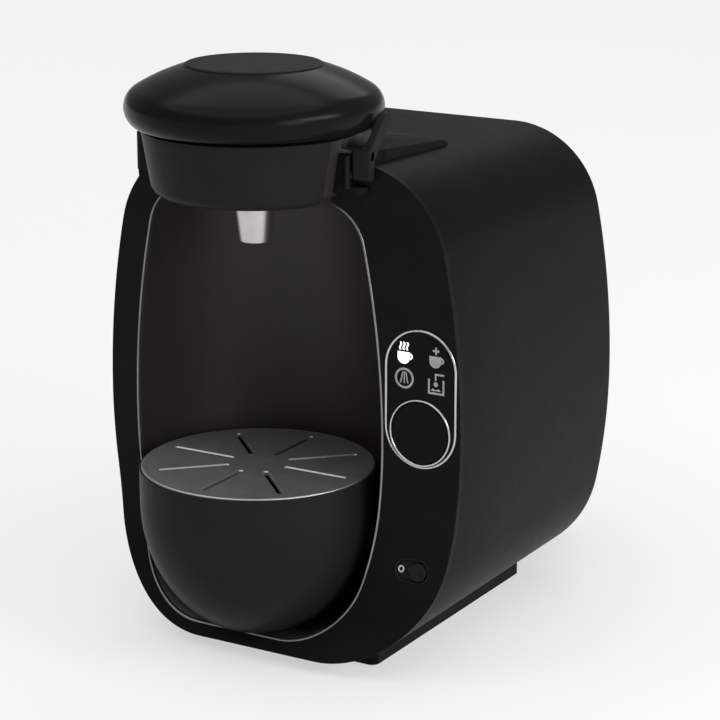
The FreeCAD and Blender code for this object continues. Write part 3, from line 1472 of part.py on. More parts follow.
makers = {
    "base_plate": make_base_plate,
    "rubber_feet": make_feet,
    "base_screws": make_base_screws,
    "body_shell": make_body_shell,
    "front_fascia": make_fascia,
    "niche_liner": make_niche_liner,
    "niche_trim_ring": make_niche_trim,
    "control_plate": make_control_plate,
    "control_ring": make_control_ring,
    "light_guides": make_light_guides,
    "button_ring": make_button_ring,
    "start_button": make_start_button,
    "button_board": make_button_board,
    "switch_bezel": make_switch_bezel,
    "power_slider": make_power_slider,
    "switch_body": make_switch_body,
    "drip_bowl": make_drip_bowl,
    "drip_grate": make_drip_grate,
    "head_housing": make_head_housing,
    "drum_cover": make_drum_cover,
    "brew_chamber": make_brew_chamber,
    "drink_nozzle": make_drink_nozzle,
    "piercing_unit": make_piercing_unit,
    "disc_holder": make_disc_holder,
    "code_window": make_code_window,
    "brew_lid": make_brew_lid,
    "lid_top_disc": make_lid_top_disc,
    "lid_press_plate": make_press_plate,
    "press_seal": make_press_seal,
    "lid_hinge_pin": make_lid_pin,
    "latch_lever": make_latch_lever,
    "latch_pin": make_latch_pin,
    "latch_spring": make_latch_spring,
    "rear_panel": make_rear_panel,
    "rear_screws": make_rear_screws,
    "tank_dock": make_tank_dock,
    "dock_seal": make_dock_seal,
    "cord_gland": make_cord_gland,
    "water_tank": make_water_tank,
    "tank_valve": make_tank_valve,
    "tank_lid": make_tank_lid,
    "tank_lid_pin": make_tank_lid_pin,
    "tank_float": make_tank_float,
    "inner_frame": make_inner_frame,
    "pump": make_pump,
    "pump_mounts": make_pump_mounts,
    "flow_heater": make_flow_heater,
    "flow_meter": make_flow_meter,
    "pressure_hose": make_pressure_hose,
    "suction_hose": make_suction_hose,
    "feed_hose": make_feed_hose,
    "brew_hose": make_brew_hose,
    "control_board": make_control_board,
}

os.makedirs("parts", exist_ok=True)
for name, make in makers.items():
    shape = make()
    state = "valid" if shape.isValid() else "not valid"
    print(name, len(shape.Solids), "solids", round(shape.Volume), "mm3", state)
    shape.exportStep("parts/" + name + ".step")
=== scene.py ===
import json
import math

import bmesh
import bpy
from mathutils import Matrix, Vector


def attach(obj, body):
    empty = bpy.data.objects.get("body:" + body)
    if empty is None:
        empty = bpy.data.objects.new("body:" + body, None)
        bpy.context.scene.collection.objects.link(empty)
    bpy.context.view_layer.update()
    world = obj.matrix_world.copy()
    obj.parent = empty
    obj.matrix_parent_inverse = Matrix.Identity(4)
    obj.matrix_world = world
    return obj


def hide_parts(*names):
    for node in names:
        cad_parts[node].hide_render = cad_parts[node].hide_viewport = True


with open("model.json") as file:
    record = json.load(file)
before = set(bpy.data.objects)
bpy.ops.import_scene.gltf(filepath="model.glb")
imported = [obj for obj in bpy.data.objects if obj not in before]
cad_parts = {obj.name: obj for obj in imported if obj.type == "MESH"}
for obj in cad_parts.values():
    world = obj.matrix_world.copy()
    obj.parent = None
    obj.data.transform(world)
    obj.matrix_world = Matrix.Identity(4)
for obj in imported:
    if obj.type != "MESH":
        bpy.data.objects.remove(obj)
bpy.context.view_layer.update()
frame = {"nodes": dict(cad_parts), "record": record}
record = frame["record"]
body_of_node = {n: b for b, nodes in record["behaviour"]["bodies"].items() for n in nodes}
slot_of_node = {s["node"]: s["material_slot"] for s in record["subparts"]}

# Sizes in millimetres. The body's outline and taper, the sweep, the lid, the saddle and the foot are finer
# than the solids', and stay inside their box.
front_y = -89.0
rear_y = 83.7
head_x, head_y = -13.0, -88.0
sweep_start_z, sweep_radius = 80.0, 129.0
fascia_thickness = 3.5
# Egg-like outlines: half width, side radius above and below the widest height, that height,
# top, top corner, bottom, bottom corner. The solid saddle was cut to fit solid_egg.
body_egg = (98.7, 428.0, 326.0, 118.5, 246.5, 50.0, 6.4, 61.0)
solid_egg = (98.7, 450.0, 450.0, 118.0, 246.5, 45.0, 5.0, 62.0)
niche_egg = (69.9, 450.0, 300.0, 112.0, 226.0, 24.0, 12.7, 40.0)
body_taper, body_depth, body_floor_z = 0.027, 179.0, 6.4
rear_inset, rear_radius, top_side_z, upper_half_z = 21.0, 7.0, 200.0, 150.0
shell_wall, niche_wall, bowl_wall, drum_wall, lid_wall = 2.5, 2.0, 2.2, 2.2, 2.4
saddle_wider, saddle_longer, saddle_fall, saddle_bite = 3.5, 5.0, 6.4, 0.4
saddle_left, saddle_side_y, saddle_back_y, saddle_back_half = 48.9, -23.1, -15.0, 40.0
saddle_edge_z, saddle_top_z, saddle_fall_y, saddle_fall_length = 246.6, 251.05, -50.0, 46.0
saddle_reach, touching = 88.0, 0.15
foot_stretch, foot_reach, foot_rise = 54.2 / 53.0, 2.7, 2.2
foot_front_y, foot_top_z = -70.0, 4.9
bowl_radius, bowl_belly_z, bowl_height, bowl_drop = 57.8, 75.0, 68.0, 62.0
pot_low_z, pot_top_z, pot_corner = 226.4, 257.6, 7.0
pot_low_radius, pot_slope = 48.2, (53.6 - 48.2) / (258.0 - 226.4)
hinge_y, hinge_z, knuckle_length = front_y + 67.5, 257.6, 40.0
spout_hole_radius, drum_reach = 10.7, 14.0
pot_half_notch, pot_half_throat = 46.55, 42.5
pot_notch_z, pot_notch_y = 231.5, -39.0
trim_half_gap, trim_seat = 45.0, 0.8
panel_x, panel_z = 77.6, 138.0
panel_half_width, panel_half_height, panel_depth, panel_gap = 19.0, 33.5, 2.6, 0.15
button_z, button_radius = 121.9, 14.9
switch_x, switch_z = 74.8, 53.9
switch_hole_half_width, switch_hole_half_height = 9.55, 6.05
switch_tilt = math.asin((sweep_start_z - switch_z) / sweep_radius)


def sweep_y(z):
    """Where the front face lies at height z."""
    drop = max(sweep_start_z - z, 0.0)
    return front_y - sweep_radius + math.sqrt(sweep_radius * sweep_radius - drop * drop)


# Finishes


def new_finish(name):
    finish = bpy.data.materials.new(name)
    finish.use_nodes = True
    nodes = finish.node_tree.nodes
    shader = nodes["Principled BSDF"]
    place = nodes.new("ShaderNodeTexCoord")
    return finish, nodes, finish.node_tree.links, shader, place


def mottle(nodes, links, place, scale, detail=4.0):
    noise = nodes.new("ShaderNodeTexNoise")
    noise.inputs["Scale"].default_value = scale
    noise.inputs["Detail"].default_value = detail
    links.new(place.outputs["Object"], noise.inputs["Vector"])
    return noise


def toned(nodes, links, shader, place, scale, dark, light):
    """Gives a surface a cloudy tone between two colours."""
    noise = mottle(nodes, links, place, scale)
    ramp = nodes.new("ShaderNodeValToRGB")
    ramp.color_ramp.elements[0].position = 0.35
    ramp.color_ramp.elements[1].position = 0.65
    ramp.color_ramp.elements[0].color = (*dark, 1.0)
    ramp.color_ramp.elements[1].color = (*light, 1.0)
    links.new(noise.outputs["Fac"], ramp.inputs["Fac"])
    links.new(ramp.outputs["Color"], shader.inputs["Base Color"])
    return ramp


def moulded(name, dark, light, rough, specular=0.5, metallic=0.0, cloud=60.0, grain=2200.0, depth=0.004,
            spread=0.02):
    """A moulded or plated surface: cloudy tone, uneven gloss and a fine grain."""
    finish, nodes, links, shader, place = new_finish(name)
    toned(nodes, links, shader, place, cloud, dark, light)
    gloss = nodes.new("ShaderNodeMapRange")
    gloss.inputs["From Min"].default_value = 0.3
    gloss.inputs["From Max"].default_value = 0.7
    gloss.inputs["To Min"].default_value = rough - spread
    gloss.inputs["To Max"].default_value = rough + spread
    links.new(mottle(nodes, links, place, cloud * 3).outputs["Fac"], gloss.inputs["Value"])
    links.new(gloss.outputs["Result"], shader.inputs["Roughness"])
    bump = nodes.new("ShaderNodeBump")
    bump.inputs["Strength"].default_value = 1.0
    bump.inputs["Distance"].default_value = depth * 0.001
    links.new(mottle(nodes, links, place, grain, 2.0).outputs["Fac"], bump.inputs["Height"])
    links.new(bump.outputs["Normal"], shader.inputs["Normal"])
    shader.inputs["Specular IOR Level"].default_value = specular
    shader.inputs["Metallic"].default_value = metallic
    return finish


def grey(level, warm=0.0):
    return (level * (1 + warm), level, level * (1 - warm))


finishes = {
    "lid_gloss": moulded("polished_black", grey(0.0060, 0.04), grey(0.0068, 0.04), 0.22, 0.06, depth=0.0005),
    "shell_satin": moulded("satin_black", grey(0.0046, 0.05), grey(0.0054, 0.05), 0.46, 0.052),
    "front_black": moulded("smooth_black", grey(0.0056, 0.04), grey(0.0066, 0.04), 0.42, 0.05, depth=0.002),
    "head_black": moulded("head_satin_black", grey(0.0140, 0.04), grey(0.0156, 0.04), 0.40, 0.035,
                          depth=0.002),
    # Niche wall: partly its own dark plastic, partly painted reflection. The base is lifted and warmed to stand
    # for the soft brownish glow of reflected light at the niche's back.
    "niche_dark": moulded("niche_dark_painted_glow", grey(0.0200, 0.14), grey(0.0220, 0.14), 0.46, 0.35),
    "trim_grey": moulded("trim_grey_line", grey(0.22), grey(0.27), 0.38, 0.5, 1.0, depth=0.001),
    "ring_silver": moulded("ring_satin_silver", grey(0.52), grey(0.60), 0.28, 0.5, 1.0, depth=0.001),
    "nozzle_silver": moulded("nozzle_satin_silver", grey(0.50, 0.02), grey(0.58, 0.02), 0.36, 0.5, 1.0),
    "grate_metal": moulded("grate_dark_metal", grey(0.38), grey(0.44), 0.40, 0.5, 0.85, grain=3000.0),
    "panel_black": moulded("panel_smooth_black", grey(0.0036, 0.03), grey(0.0046, 0.03), 0.36, 0.06,
                           depth=0.001),
    "guide_clear": moulded("guide_clear_grey", grey(0.30), grey(0.36), 0.20, 0.5),
    "foot_rubber": moulded("foot_soft_rubber", grey(0.010), grey(0.016), 0.75, 0.3, grain=1200.0, depth=0.02),
    "seal_rubber": moulded("seal_grey_rubber", grey(0.055), grey(0.075), 0.65, 0.35, grain=1500.0,
                           depth=0.01),
    "steel": moulded("plain_steel", grey(0.46), grey(0.55), 0.30, 0.5, 1.0, cloud=200.0),
    "float_white": moulded("float_white_plastic", (0.70, 0.70, 0.66), (0.76, 0.76, 0.72), 0.42, 0.4),
    "board_green": moulded("board_green_coat", (0.010, 0.085, 0.030), (0.018, 0.12, 0.045), 0.38, 0.5,
                           cloud=300.0),
    "frame_grey": moulded("frame_moulded_grey", grey(0.16), grey(0.20), 0.55, 0.4),
    "pump_metal": moulded("pump_plated_steel", grey(0.22), grey(0.30), 0.38, 0.5, 1.0),
    "heater_alloy": moulded("heater_cast_alloy", grey(0.45), grey(0.56), 0.48, 0.5, 1.0, grain=900.0,
                            depth=0.03),
    "hose_clear": moulded("hose_silicone", (0.56, 0.56, 0.52), (0.64, 0.64, 0.60), 0.45, 0.4),
}


def clear_finish(name, dark, light, rough):
    finish, nodes, links, shader, place = new_finish(name)
    toned(nodes, links, shader, place, 40.0, dark, light)
    gloss = nodes.new("ShaderNodeMapRange")
    gloss.inputs["To Min"].default_value = rough * 0.6
    gloss.inputs["To Max"].default_value = rough * 1.4
    links.new(mottle(nodes, links, place, 90.0).outputs["Fac"], gloss.inputs["Value"])
    links.new(gloss.outputs["Result"], shader.inputs["Roughness"])
    shader.inputs["Transmission Weight"].default_value = 1.0
    shader.inputs["IOR"].default_value = 1.46
    return finish


finishes["tank_smoke"] = clear_finish("tank_smoky_clear", (0.30, 0.31, 0.33), (0.36, 0.37, 0.39), 0.06)
finishes["window_red"] = clear_finish("window_dark_red", (0.22, 0.012, 0.012), (0.30, 0.02, 0.02), 0.10)


def glowing(name, dark, light, strength):
    """A printed mark, lit from behind where strength isn't nothing."""
    finish, nodes, links, shader, place = new_finish(name)
    ramp = toned(nodes, links, shader, place, 500.0, dark, light)
    links.new(ramp.outputs["Color"], shader.inputs["Emission Color"])
    shader.inputs["Emission Strength"].default_value = strength
    shader.inputs["Roughness"].default_value = 0.5
    shader.inputs["Specular IOR Level"].default_value = 0.2
    return finish


disc_black = moulded("disc_satin_black", grey(0.0085, 0.04), grey(0.0095, 0.04), 0.36, 0.05, depth=0.001)
saddle_black = moulded("saddle_satin_black", grey(0.0080, 0.04), grey(0.0090, 0.04), 0.45, 0.02, depth=0.002)
blackened = moulded("blackened_steel", grey(0.008), grey(0.010), 0.45, 0.2)
mark_lit = glowing("mark_lit_white", grey(0.86), grey(0.92), 0.9)
mark_grey = glowing("mark_printed_grey", grey(0.30), grey(0.36), 0.0)
mark_grey_bright = glowing("mark_printed_white", grey(0.55), grey(0.62), 0.0)


# Drawing in the upright plane, seen from the front


def verts_of(geom):
    return [g for g in geom if isinstance(g, bmesh.types.BMVert)]


def spun(shape, verts, angle, axis):
    """Turns points about an axis through the origin."""
    bmesh.ops.rotate(shape, verts=verts, cent=(0.0, 0.0, 0.0), matrix=Matrix.Rotation(angle, 3, axis))


def thickened(shape, vec):
    """Carries every face on into a solid."""
    made = bmesh.ops.extrude_face_region(shape, geom=shape.faces[:])["geom"]
    bmesh.ops.translate(shape, verts=verts_of(made), vec=vec)


def start(shape, x, z):
    return shape.verts.new((x, 0.0, z))


def line_to(shape, tip, x, z):
    tip = bmesh.ops.extrude_vert_indiv(shape, verts=[tip])["verts"][0]
    tip.co = (x, 0.0, z)
    return tip


def trace(shape, corners):
    """Draws straight runs from corner to corner. Gives the last point."""
    tip = start(shape, *corners[0])
    for x, z in corners[1:]:
        tip = line_to(shape, tip, x, z)
    return tip


def turn(shape, tip, x, z, degrees, steps):
    """Carries the line on round the point x, z, clockwise where degrees are positive."""
    made = bmesh.ops.spin(shape, geom=[tip], cent=(x, 0.0, z), axis=(0.0, 1.0, 0.0), dvec=(0.0, 0.0, 0.0),
                          angle=math.radians(degrees), steps=steps)
    return verts_of(made["geom_last"])[0]


def bow(shape, tip, x, z, bulge, steps):
    """Carries the line on to x, z in an arc that stands out by bulge on its left."""
    a, b = Vector((tip.co.x, tip.co.z)), Vector((x, z))
    along = b - a
    left = Vector((-along.y, along.x)).normalized()
    radius = (along.length_squared / 4 + bulge * bulge) / (2 * bulge)
    centre = (a + b) / 2 - left * (radius - bulge)
    return turn(shape, tip, centre.x, centre.y, math.degrees(4 * math.atan(2 * bulge / along.length)), steps)


def corner_of(half, side, widest, flat_z, radius, sign):
    rise = flat_z - sign * radius - widest
    reach = side - radius
    x = math.sqrt(reach * reach - rise * rise)
    return half - side + x, flat_z - sign * radius, math.degrees(math.atan2(rise, x))


def half_egg(shape, size, inset=0.0, first_x=0.0):
    """The right half of an egg-like outline, from its top round to its bottom."""
    half, side, low_side, widest, top, top_r, low, low_r = size
    half, side, low_side = half - inset, side - inset, low_side - inset
    top, top_r, low, low_r = top - inset, top_r - inset, low + inset, low_r - inset
    top_x, top_z, top_angle = corner_of(half, side, widest, top, top_r, 1)
    low_x, low_z, low_angle = corner_of(half, low_side, widest, low, low_r, -1)
    if first_x > top_x:
        lean = math.asin((first_x - top_x) / top_r)
        tip = start(shape, first_x, top_z + top_r * math.cos(lean))
        tip = turn(shape, tip, top_x, top_z, 90 - top_angle - math.degrees(lean), 16)
    else:
        tip = line_to(shape, start(shape, 0.0, top), top_x, top)
        tip = turn(shape, tip, top_x, top_z, 90 - top_angle, 18)
    tip = turn(shape, tip, half - side, widest, top_angle, 20)
    tip = turn(shape, tip, half - low_side, widest, -low_angle, 24)
    tip = turn(shape, tip, low_x, low_z, 90 + low_angle, 24)
    line_to(shape, tip, 0.0, low)


def half_stadium(shape, half_width, half_height):
    """The right half of a stadium about the origin, upright or level."""
    radius = min(half_width, half_height)
    x, z = half_width - radius, half_height - radius
    tip = start(shape, 0.0, half_height)
    if x > 0.01:
        tip = line_to(shape, tip, x, half_height)
    tip = turn(shape, tip, x, z, 90, 16)
    if z > 0.01:
        tip = line_to(shape, tip, half_width, -z)
    tip = turn(shape, tip, x, -z, 90, 16)
    if x > 0.01:
        line_to(shape, tip, 0.0, -half_height)


def whole(shape, draw, x=0.0, y=0.0, z=0.0):
    """Draws a right half, mirrors it and sets the closed line in place. Gives its edges."""
    old_verts, old_edges = set(shape.verts), set(shape.edges)
    draw()
    half = [v for v in shape.verts if v not in old_verts] + [e for e in shape.edges if e not in old_edges]
    bmesh.ops.mirror(shape, geom=half, matrix=Matrix(), merge_dist=0.0005, axis="X")
    drawn = [v for v in shape.verts if v not in old_verts]
    bmesh.ops.translate(shape, verts=drawn, vec=(x, y, z))
    return [e for e in shape.edges if e not in old_edges]


def egg(shape, size, inset=0.0, x=0.0, y=0.0):
    return whole(shape, lambda: half_egg(shape, size, inset), x, y)


def stadium(shape, half_width, half_height, x=0.0, y=0.0, z=0.0):
    return whole(shape, lambda: half_stadium(shape, half_width, half_height), x, y, z)


def bridged(shape, loops):
    for a, b in zip(loops, loops[1:]):
        bmesh.ops.bridge_loops(shape, edges=a + b)


def filled(shape, loops):
    """A flat face inside the first closed line, with the others as its holes."""
    edges = [e for loop in loops for e in loop]
    made = bmesh.ops.triangle_fill(shape, use_beauty=True, use_dissolve=False, edges=edges,
                                   normal=(0.0, -1.0, 0.0))
    return [g for g in made["geom"] if isinstance(g, bmesh.types.BMFace)]


def pushed(shape, edges, vec):
    """Carries a line on into a wall. Gives the far line's edges."""
    made = bmesh.ops.extrude_edge_only(shape, edges=edges)["geom"]
    bmesh.ops.translate(shape, verts=verts_of(made), vec=vec)
    return [g for g in made if isinstance(g, bmesh.types.BMEdge)]


def cut_at(shape, point, normal):
    bmesh.ops.bisect_plane(shape, geom=shape.verts[:] + shape.edges[:] + shape.faces[:], dist=0.0001,
                           plane_co=point, plane_no=normal)


def drop_faces(shape, test):
    gone = [f for f in shape.faces if test(f.calc_center_median())]
    bmesh.ops.delete(shape, geom=gone, context="FACES")


def rows_along_sweep(shape):
    """Level cuts where the front curves, so that the face can follow it."""
    for z in range(8, int(sweep_start_z) + 1, 4):
        cut_at(shape, (0.0, 0.0, float(z)), (0.0, 0.0, 1.0))


def lay_on_front(shape):
    for v in shape.verts:
        v.co.y += sweep_y(v.co.z)


def narrowing(y):
    return 1 - body_taper * (y - front_y) / body_depth


def taper(shape):
    """Narrows the body towards the rear, about the middle of its level floor."""
    for v in shape.verts:
        scale = narrowing(v.co.y)
        v.co.x *= scale
        v.co.z = body_floor_z + scale * (v.co.z - body_floor_z)


def top_of(size, x):
    """The height of an egg-like outline's upper side at x."""
    half, side, _, widest, top, top_r = size[:6]
    corner_x, corner_z, _ = corner_of(half, side, widest, top, top_r, 1)
    out = max(abs(x) - corner_x, 0.0)
    return corner_z + math.sqrt(top_r * top_r - out * out)


def on_solid_body(place):
    """Whether a point lies on the upper side of the solid body."""
    over_body = place.y > front_y - 0.05 and abs(place.x) < saddle_reach
    return over_body and abs(place.z - top_of(solid_egg, place.x)) < touching


def seat_saddle(shape):
    """Widens and lengthens the saddle a little and lets it down to the narrowing shell."""
    for v in shape.verts:
        underside = on_solid_body(v.co)
        if v.co.x < head_x - saddle_left:
            v.co.x -= saddle_wider
        beside = abs(v.co.x - head_x) > saddle_back_half
        if v.co.y > saddle_side_y and (v.co.y > saddle_back_y or beside):
            v.co.y += saddle_longer
        if underside:
            scale = narrowing(v.co.y)
            shell_rise = scale * (top_of(body_egg, v.co.x / scale) - body_floor_z)
            v.co.z = body_floor_z + shell_rise - saddle_bite
        elif saddle_edge_z < v.co.z < saddle_top_z and v.co.y > saddle_fall_y:
            v.co.z -= saddle_fall * (v.co.y - saddle_fall_y) / saddle_fall_length


def seat_base(shape):
    """Brings the foot's front and sides out a little and its top up to the body."""
    for v in shape.verts:
        v.co.x *= foot_stretch
        if v.co.y < foot_front_y:
            v.co.y -= foot_reach
        if v.co.z > foot_top_z:
            v.co.z += foot_rise


def lathe(shape, x, y, degrees=360, steps=128):
    """Turns what is drawn about the upright axis and sets it at x, y."""
    bmesh.ops.spin(shape, geom=shape.verts[:] + shape.edges[:], cent=(0.0, 0.0, 0.0), axis=(0.0, 0.0, 1.0),
                   dvec=(0.0, 0.0, 0.0), angle=math.radians(degrees), steps=steps, use_merge=degrees == 360)
    bmesh.ops.remove_doubles(shape, verts=shape.verts[:], dist=0.0005)
    bmesh.ops.translate(shape, verts=shape.verts[:], vec=(x, y, 0.0))


def face_front(shape, x, y, z):
    """Turns an upright lathe to face the front, and sets it at x, y, z."""
    spun(shape, shape.verts[:], math.pi / 2, "X")
    bmesh.ops.translate(shape, verts=shape.verts[:], vec=(x, y, z))


def on_switch(shape):
    """Sets what was made about the origin on the leaning front at the switch."""
    spun(shape, shape.verts[:], -switch_tilt, "X")
    bmesh.ops.translate(shape, verts=shape.verts[:], vec=(switch_x, sweep_y(switch_z), switch_z))


# Making pieces


def set_out(name, shape, nodes, finish, body, slot, sharp):
    """Makes an object of a shape in millimetres, riding on a body and standing for the nodes."""
    bmesh.ops.scale(shape, verts=shape.verts[:], vec=(0.001, 0.001, 0.001))
    mesh = bpy.data.meshes.new(name)
    shape.to_mesh(mesh)
    shape.free()
    mesh.shade_smooth()
    if sharp:
        mesh.set_sharp_from_angle(angle=math.radians(sharp))
    piece = bpy.data.objects.new(name, mesh)
    bpy.context.scene.collection.objects.link(piece)
    slot = slot or slot_of_node[nodes[0]]
    mesh.materials.append(finish or finishes[slot])
    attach(piece, body or body_of_node[nodes[0]])
    if nodes:
        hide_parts(*nodes)
    return piece


def add_piece(name, shape, nodes=(), finish=None, body=None, slot=None, sharp=35.0):
    """Closes a new shape, turns its faces outward and sets it out."""
    bmesh.ops.remove_doubles(shape, verts=shape.verts[:], dist=0.0005)
    bmesh.ops.recalc_face_normals(shape, faces=shape.faces[:])
    return set_out(name, shape, nodes, finish, body, slot, sharp)


def walled(piece, wall, side=-1.0):
    solid = piece.modifiers.new("wall", "SOLIDIFY")
    solid.thickness = wall * 0.001
    solid.offset = side
    solid.use_even_offset = True


def eased(piece, width, segments=2, angle=40.0):
    edge = piece.modifiers.new("edge", "BEVEL")
    edge.width = width * 0.001
    edge.segments = segments
    edge.limit_method = "ANGLE"
    edge.angle_limit = math.radians(angle)
    edge.use_clamp_overlap = True
    edge.harden_normals = True


def flat_led(piece):
    """Lets the large faces lead the shading."""
    piece.modifiers.new("shading", "WEIGHTED_NORMAL").keep_sharp = True


def copied(node, name, finish=None, seat=None):
    """A merged copy of a solid's mesh, shaded smooth between its edges and fitted by seat."""
    shape = bmesh.new()
    shape.from_mesh(frame["nodes"][node].data)
    bmesh.ops.scale(shape, verts=shape.verts[:], vec=(1000.0, 1000.0, 1000.0))
    bmesh.ops.remove_doubles(shape, verts=shape.verts[:], dist=0.0005)
    if seat:
        seat(shape)
    flat_led(set_out(name, shape, (node,), finish, None, None, 30.0))


# Shell and front


def make_shell():
    shape = bmesh.new()
    front = egg(shape, body_egg)
    back = pushed(shape, front, (0.0, rear_y, 0.0))
    back = [e for e in back if all(v.co.y > 1.0 for v in e.verts)]
    cap = bmesh.ops.contextual_create(shape, geom=back)["faces"][0]
    bmesh.ops.recalc_face_normals(shape, faces=shape.faces[:])
    bmesh.ops.inset_region(shape, faces=[cap], thickness=rear_inset, use_even_offset=True)
    bmesh.ops.delete(shape, geom=[cap], context="FACES")
    bmesh.ops.bevel(shape, geom=back, offset=rear_radius, offset_type="OFFSET", affect="EDGES", segments=8,
                    profile=0.5, material=-1, clamp_overlap=False)
    for v in shape.verts:
        if v.co.y < 0.001:
            v.co.y = sweep_y(v.co.z) + fascia_thickness
    taper(shape)
    for side in (-1, 1):
        cut_at(shape, (head_x + side * pot_half_notch, 0.0, 0.0), (1.0, 0.0, 0.0))
    cut_at(shape, (0.0, pot_notch_y, 0.0), (0.0, 1.0, 0.0))
    drop_faces(shape, lambda c: (abs(c.x - head_x) < pot_half_notch and c.y < pot_notch_y
                                 and c.z > top_side_z))
    shell = add_piece("shell", shape, ("body_shell",))
    walled(shell, shell_wall)
    flat_led(shell)


def make_fascia():
    shape = bmesh.new()
    round_edge = 0.35
    angles = (0.0, 0.52, 1.05, math.pi / 2)
    sections = [(round_edge * (1 - math.sin(a)), round_edge * (1 - math.cos(a))) for a in angles]
    sections.append((0.0, fascia_thickness))
    rims = [egg(shape, body_egg, inset, y=depth) for inset, depth in sections]
    holes = [egg(shape, niche_egg, -trim_seat, x=head_x),
             stadium(shape, panel_half_width + panel_gap, panel_half_height + panel_gap, panel_x, 0.0, panel_z),
             stadium(shape, switch_hole_half_width, switch_hole_half_height * math.cos(switch_tilt),
                     switch_x, 0.0, switch_z)]
    backs = [pushed(shape, hole, (0.0, fascia_thickness, 0.0)) for hole in holes]
    bridged(shape, rims)
    filled(shape, [rims[0]] + holes)
    filled(shape, [rims[-1]] + backs)
    for reach in (pot_half_throat, pot_half_notch):
        for side in (-1, 1):
            cut_at(shape, (head_x + side * reach, 0.0, 0.0), (1.0, 0.0, 0.0))
    cut_at(shape, (0.0, 0.0, pot_notch_z), (0.0, 0.0, 1.0))
    drop_faces(shape, lambda c: c.z > upper_half_z and abs(c.x - head_x) < pot_half_throat)
    drop_faces(shape, lambda c: c.z > pot_notch_z and abs(c.x - head_x) < pot_half_notch)
    rows_along_sweep(shape)
    lay_on_front(shape)
    taper(shape)
    flat_led(add_piece("fascia", shape, ("front_fascia",)))


def make_liner():
    shape = bmesh.new()
    half_egg(shape, niche_egg, first_x=42.2)
    lathe(shape, 0.0, 0.0, 180, 72)
    mouth = [e for e in shape.edges if e.is_boundary and all(abs(v.co.y) < 0.001 for v in e.verts)]
    made = bmesh.ops.extrude_edge_only(shape, edges=mouth)["geom"]
    for v in verts_of(made):
        v.co.y = sweep_y(v.co.z) - front_y
    bmesh.ops.remove_doubles(shape, verts=shape.verts[:], dist=0.0005)
    bmesh.ops.dissolve_degenerate(shape, dist=0.0005, edges=shape.edges[:])
    bmesh.ops.translate(shape, verts=shape.verts[:], vec=(head_x, front_y, 0.0))
    walled(add_piece("cup_niche", shape, ("niche_liner",)), niche_wall, 1.0)


def make_trim_ring():
    shape = bmesh.new()
    sections = [(0.12, 1.2), (0.12, -0.3), (-0.1, -0.5), (-0.65, -0.4), (-0.9, -0.15), (-0.9, 1.2)]
    bridged(shape, [egg(shape, niche_egg, inset, x=head_x, y=depth) for inset, depth in sections])
    for side in (-1, 1):
        cut_at(shape, (head_x + side * trim_half_gap, 0.0, 0.0), (1.0, 0.0, 0.0))
    drop_faces(shape, lambda c: c.z > upper_half_z and abs(c.x - head_x) < trim_half_gap)
    rows_along_sweep(shape)
    lay_on_front(shape)
    add_piece("niche_trim", shape, ("niche_trim_ring",), sharp=50.0)


# Controls


def make_control_panel():
    shape = bmesh.new()
    outer = stadium(shape, panel_half_width - 1.0, panel_half_height - 1.0, panel_x, front_y, panel_z)
    hole = stadium(shape, button_radius + 1.2, button_radius + 1.2, panel_x, front_y, button_z)
    walls = [pushed(shape, edges, (0.0, panel_depth, 0.0)) for edges in (outer, hole)]
    filled(shape, [outer, hole])
    filled(shape, walls)
    add_piece("control_window", shape, ("control_plate", "light_guides"))

    shape = bmesh.new()
    sections = [(1.1, panel_depth), (1.1, -0.2), (0.8, -0.5), (0.3, -0.5), (0.0, -0.2), (0.0, panel_depth)]
    bridged(shape, [stadium(shape, panel_half_width - inset, panel_half_height - inset,
                            panel_x, front_y + depth, panel_z) for inset, depth in sections])
    add_piece("panel_ring", shape, ("control_ring",), sharp=50.0)

    shape = bmesh.new()
    trace(shape, [(button_radius + 0.3, -panel_depth), (15.2, 0.55), (15.45, 0.9), (15.95, 0.9), (16.2, 0.55),
                  (16.2, -panel_depth)])
    lathe(shape, 0.0, 0.0)
    face_front(shape, panel_x, front_y, button_z)
    add_piece("start_ring", shape, ("button_ring",), sharp=50.0)

    shape = bmesh.new()
    tip = start(shape, 0.0, -0.3)
    tip = bow(shape, tip, 14.1, 0.7, -0.12, 12)
    tip = turn(shape, tip, 14.1, -0.1, 90, 6)
    for x, z in ((button_radius, -2.9), (button_radius + 0.8, -2.9), (button_radius + 0.8, -4.1),
                 (3.0, -4.1), (3.0, -5.2), (0.0, -5.2)):
        tip = line_to(shape, tip, x, z)
    lathe(shape, 0.0, 0.0)
    face_front(shape, panel_x, front_y, button_z)
    add_piece("start_cap", shape, ("start_button",))


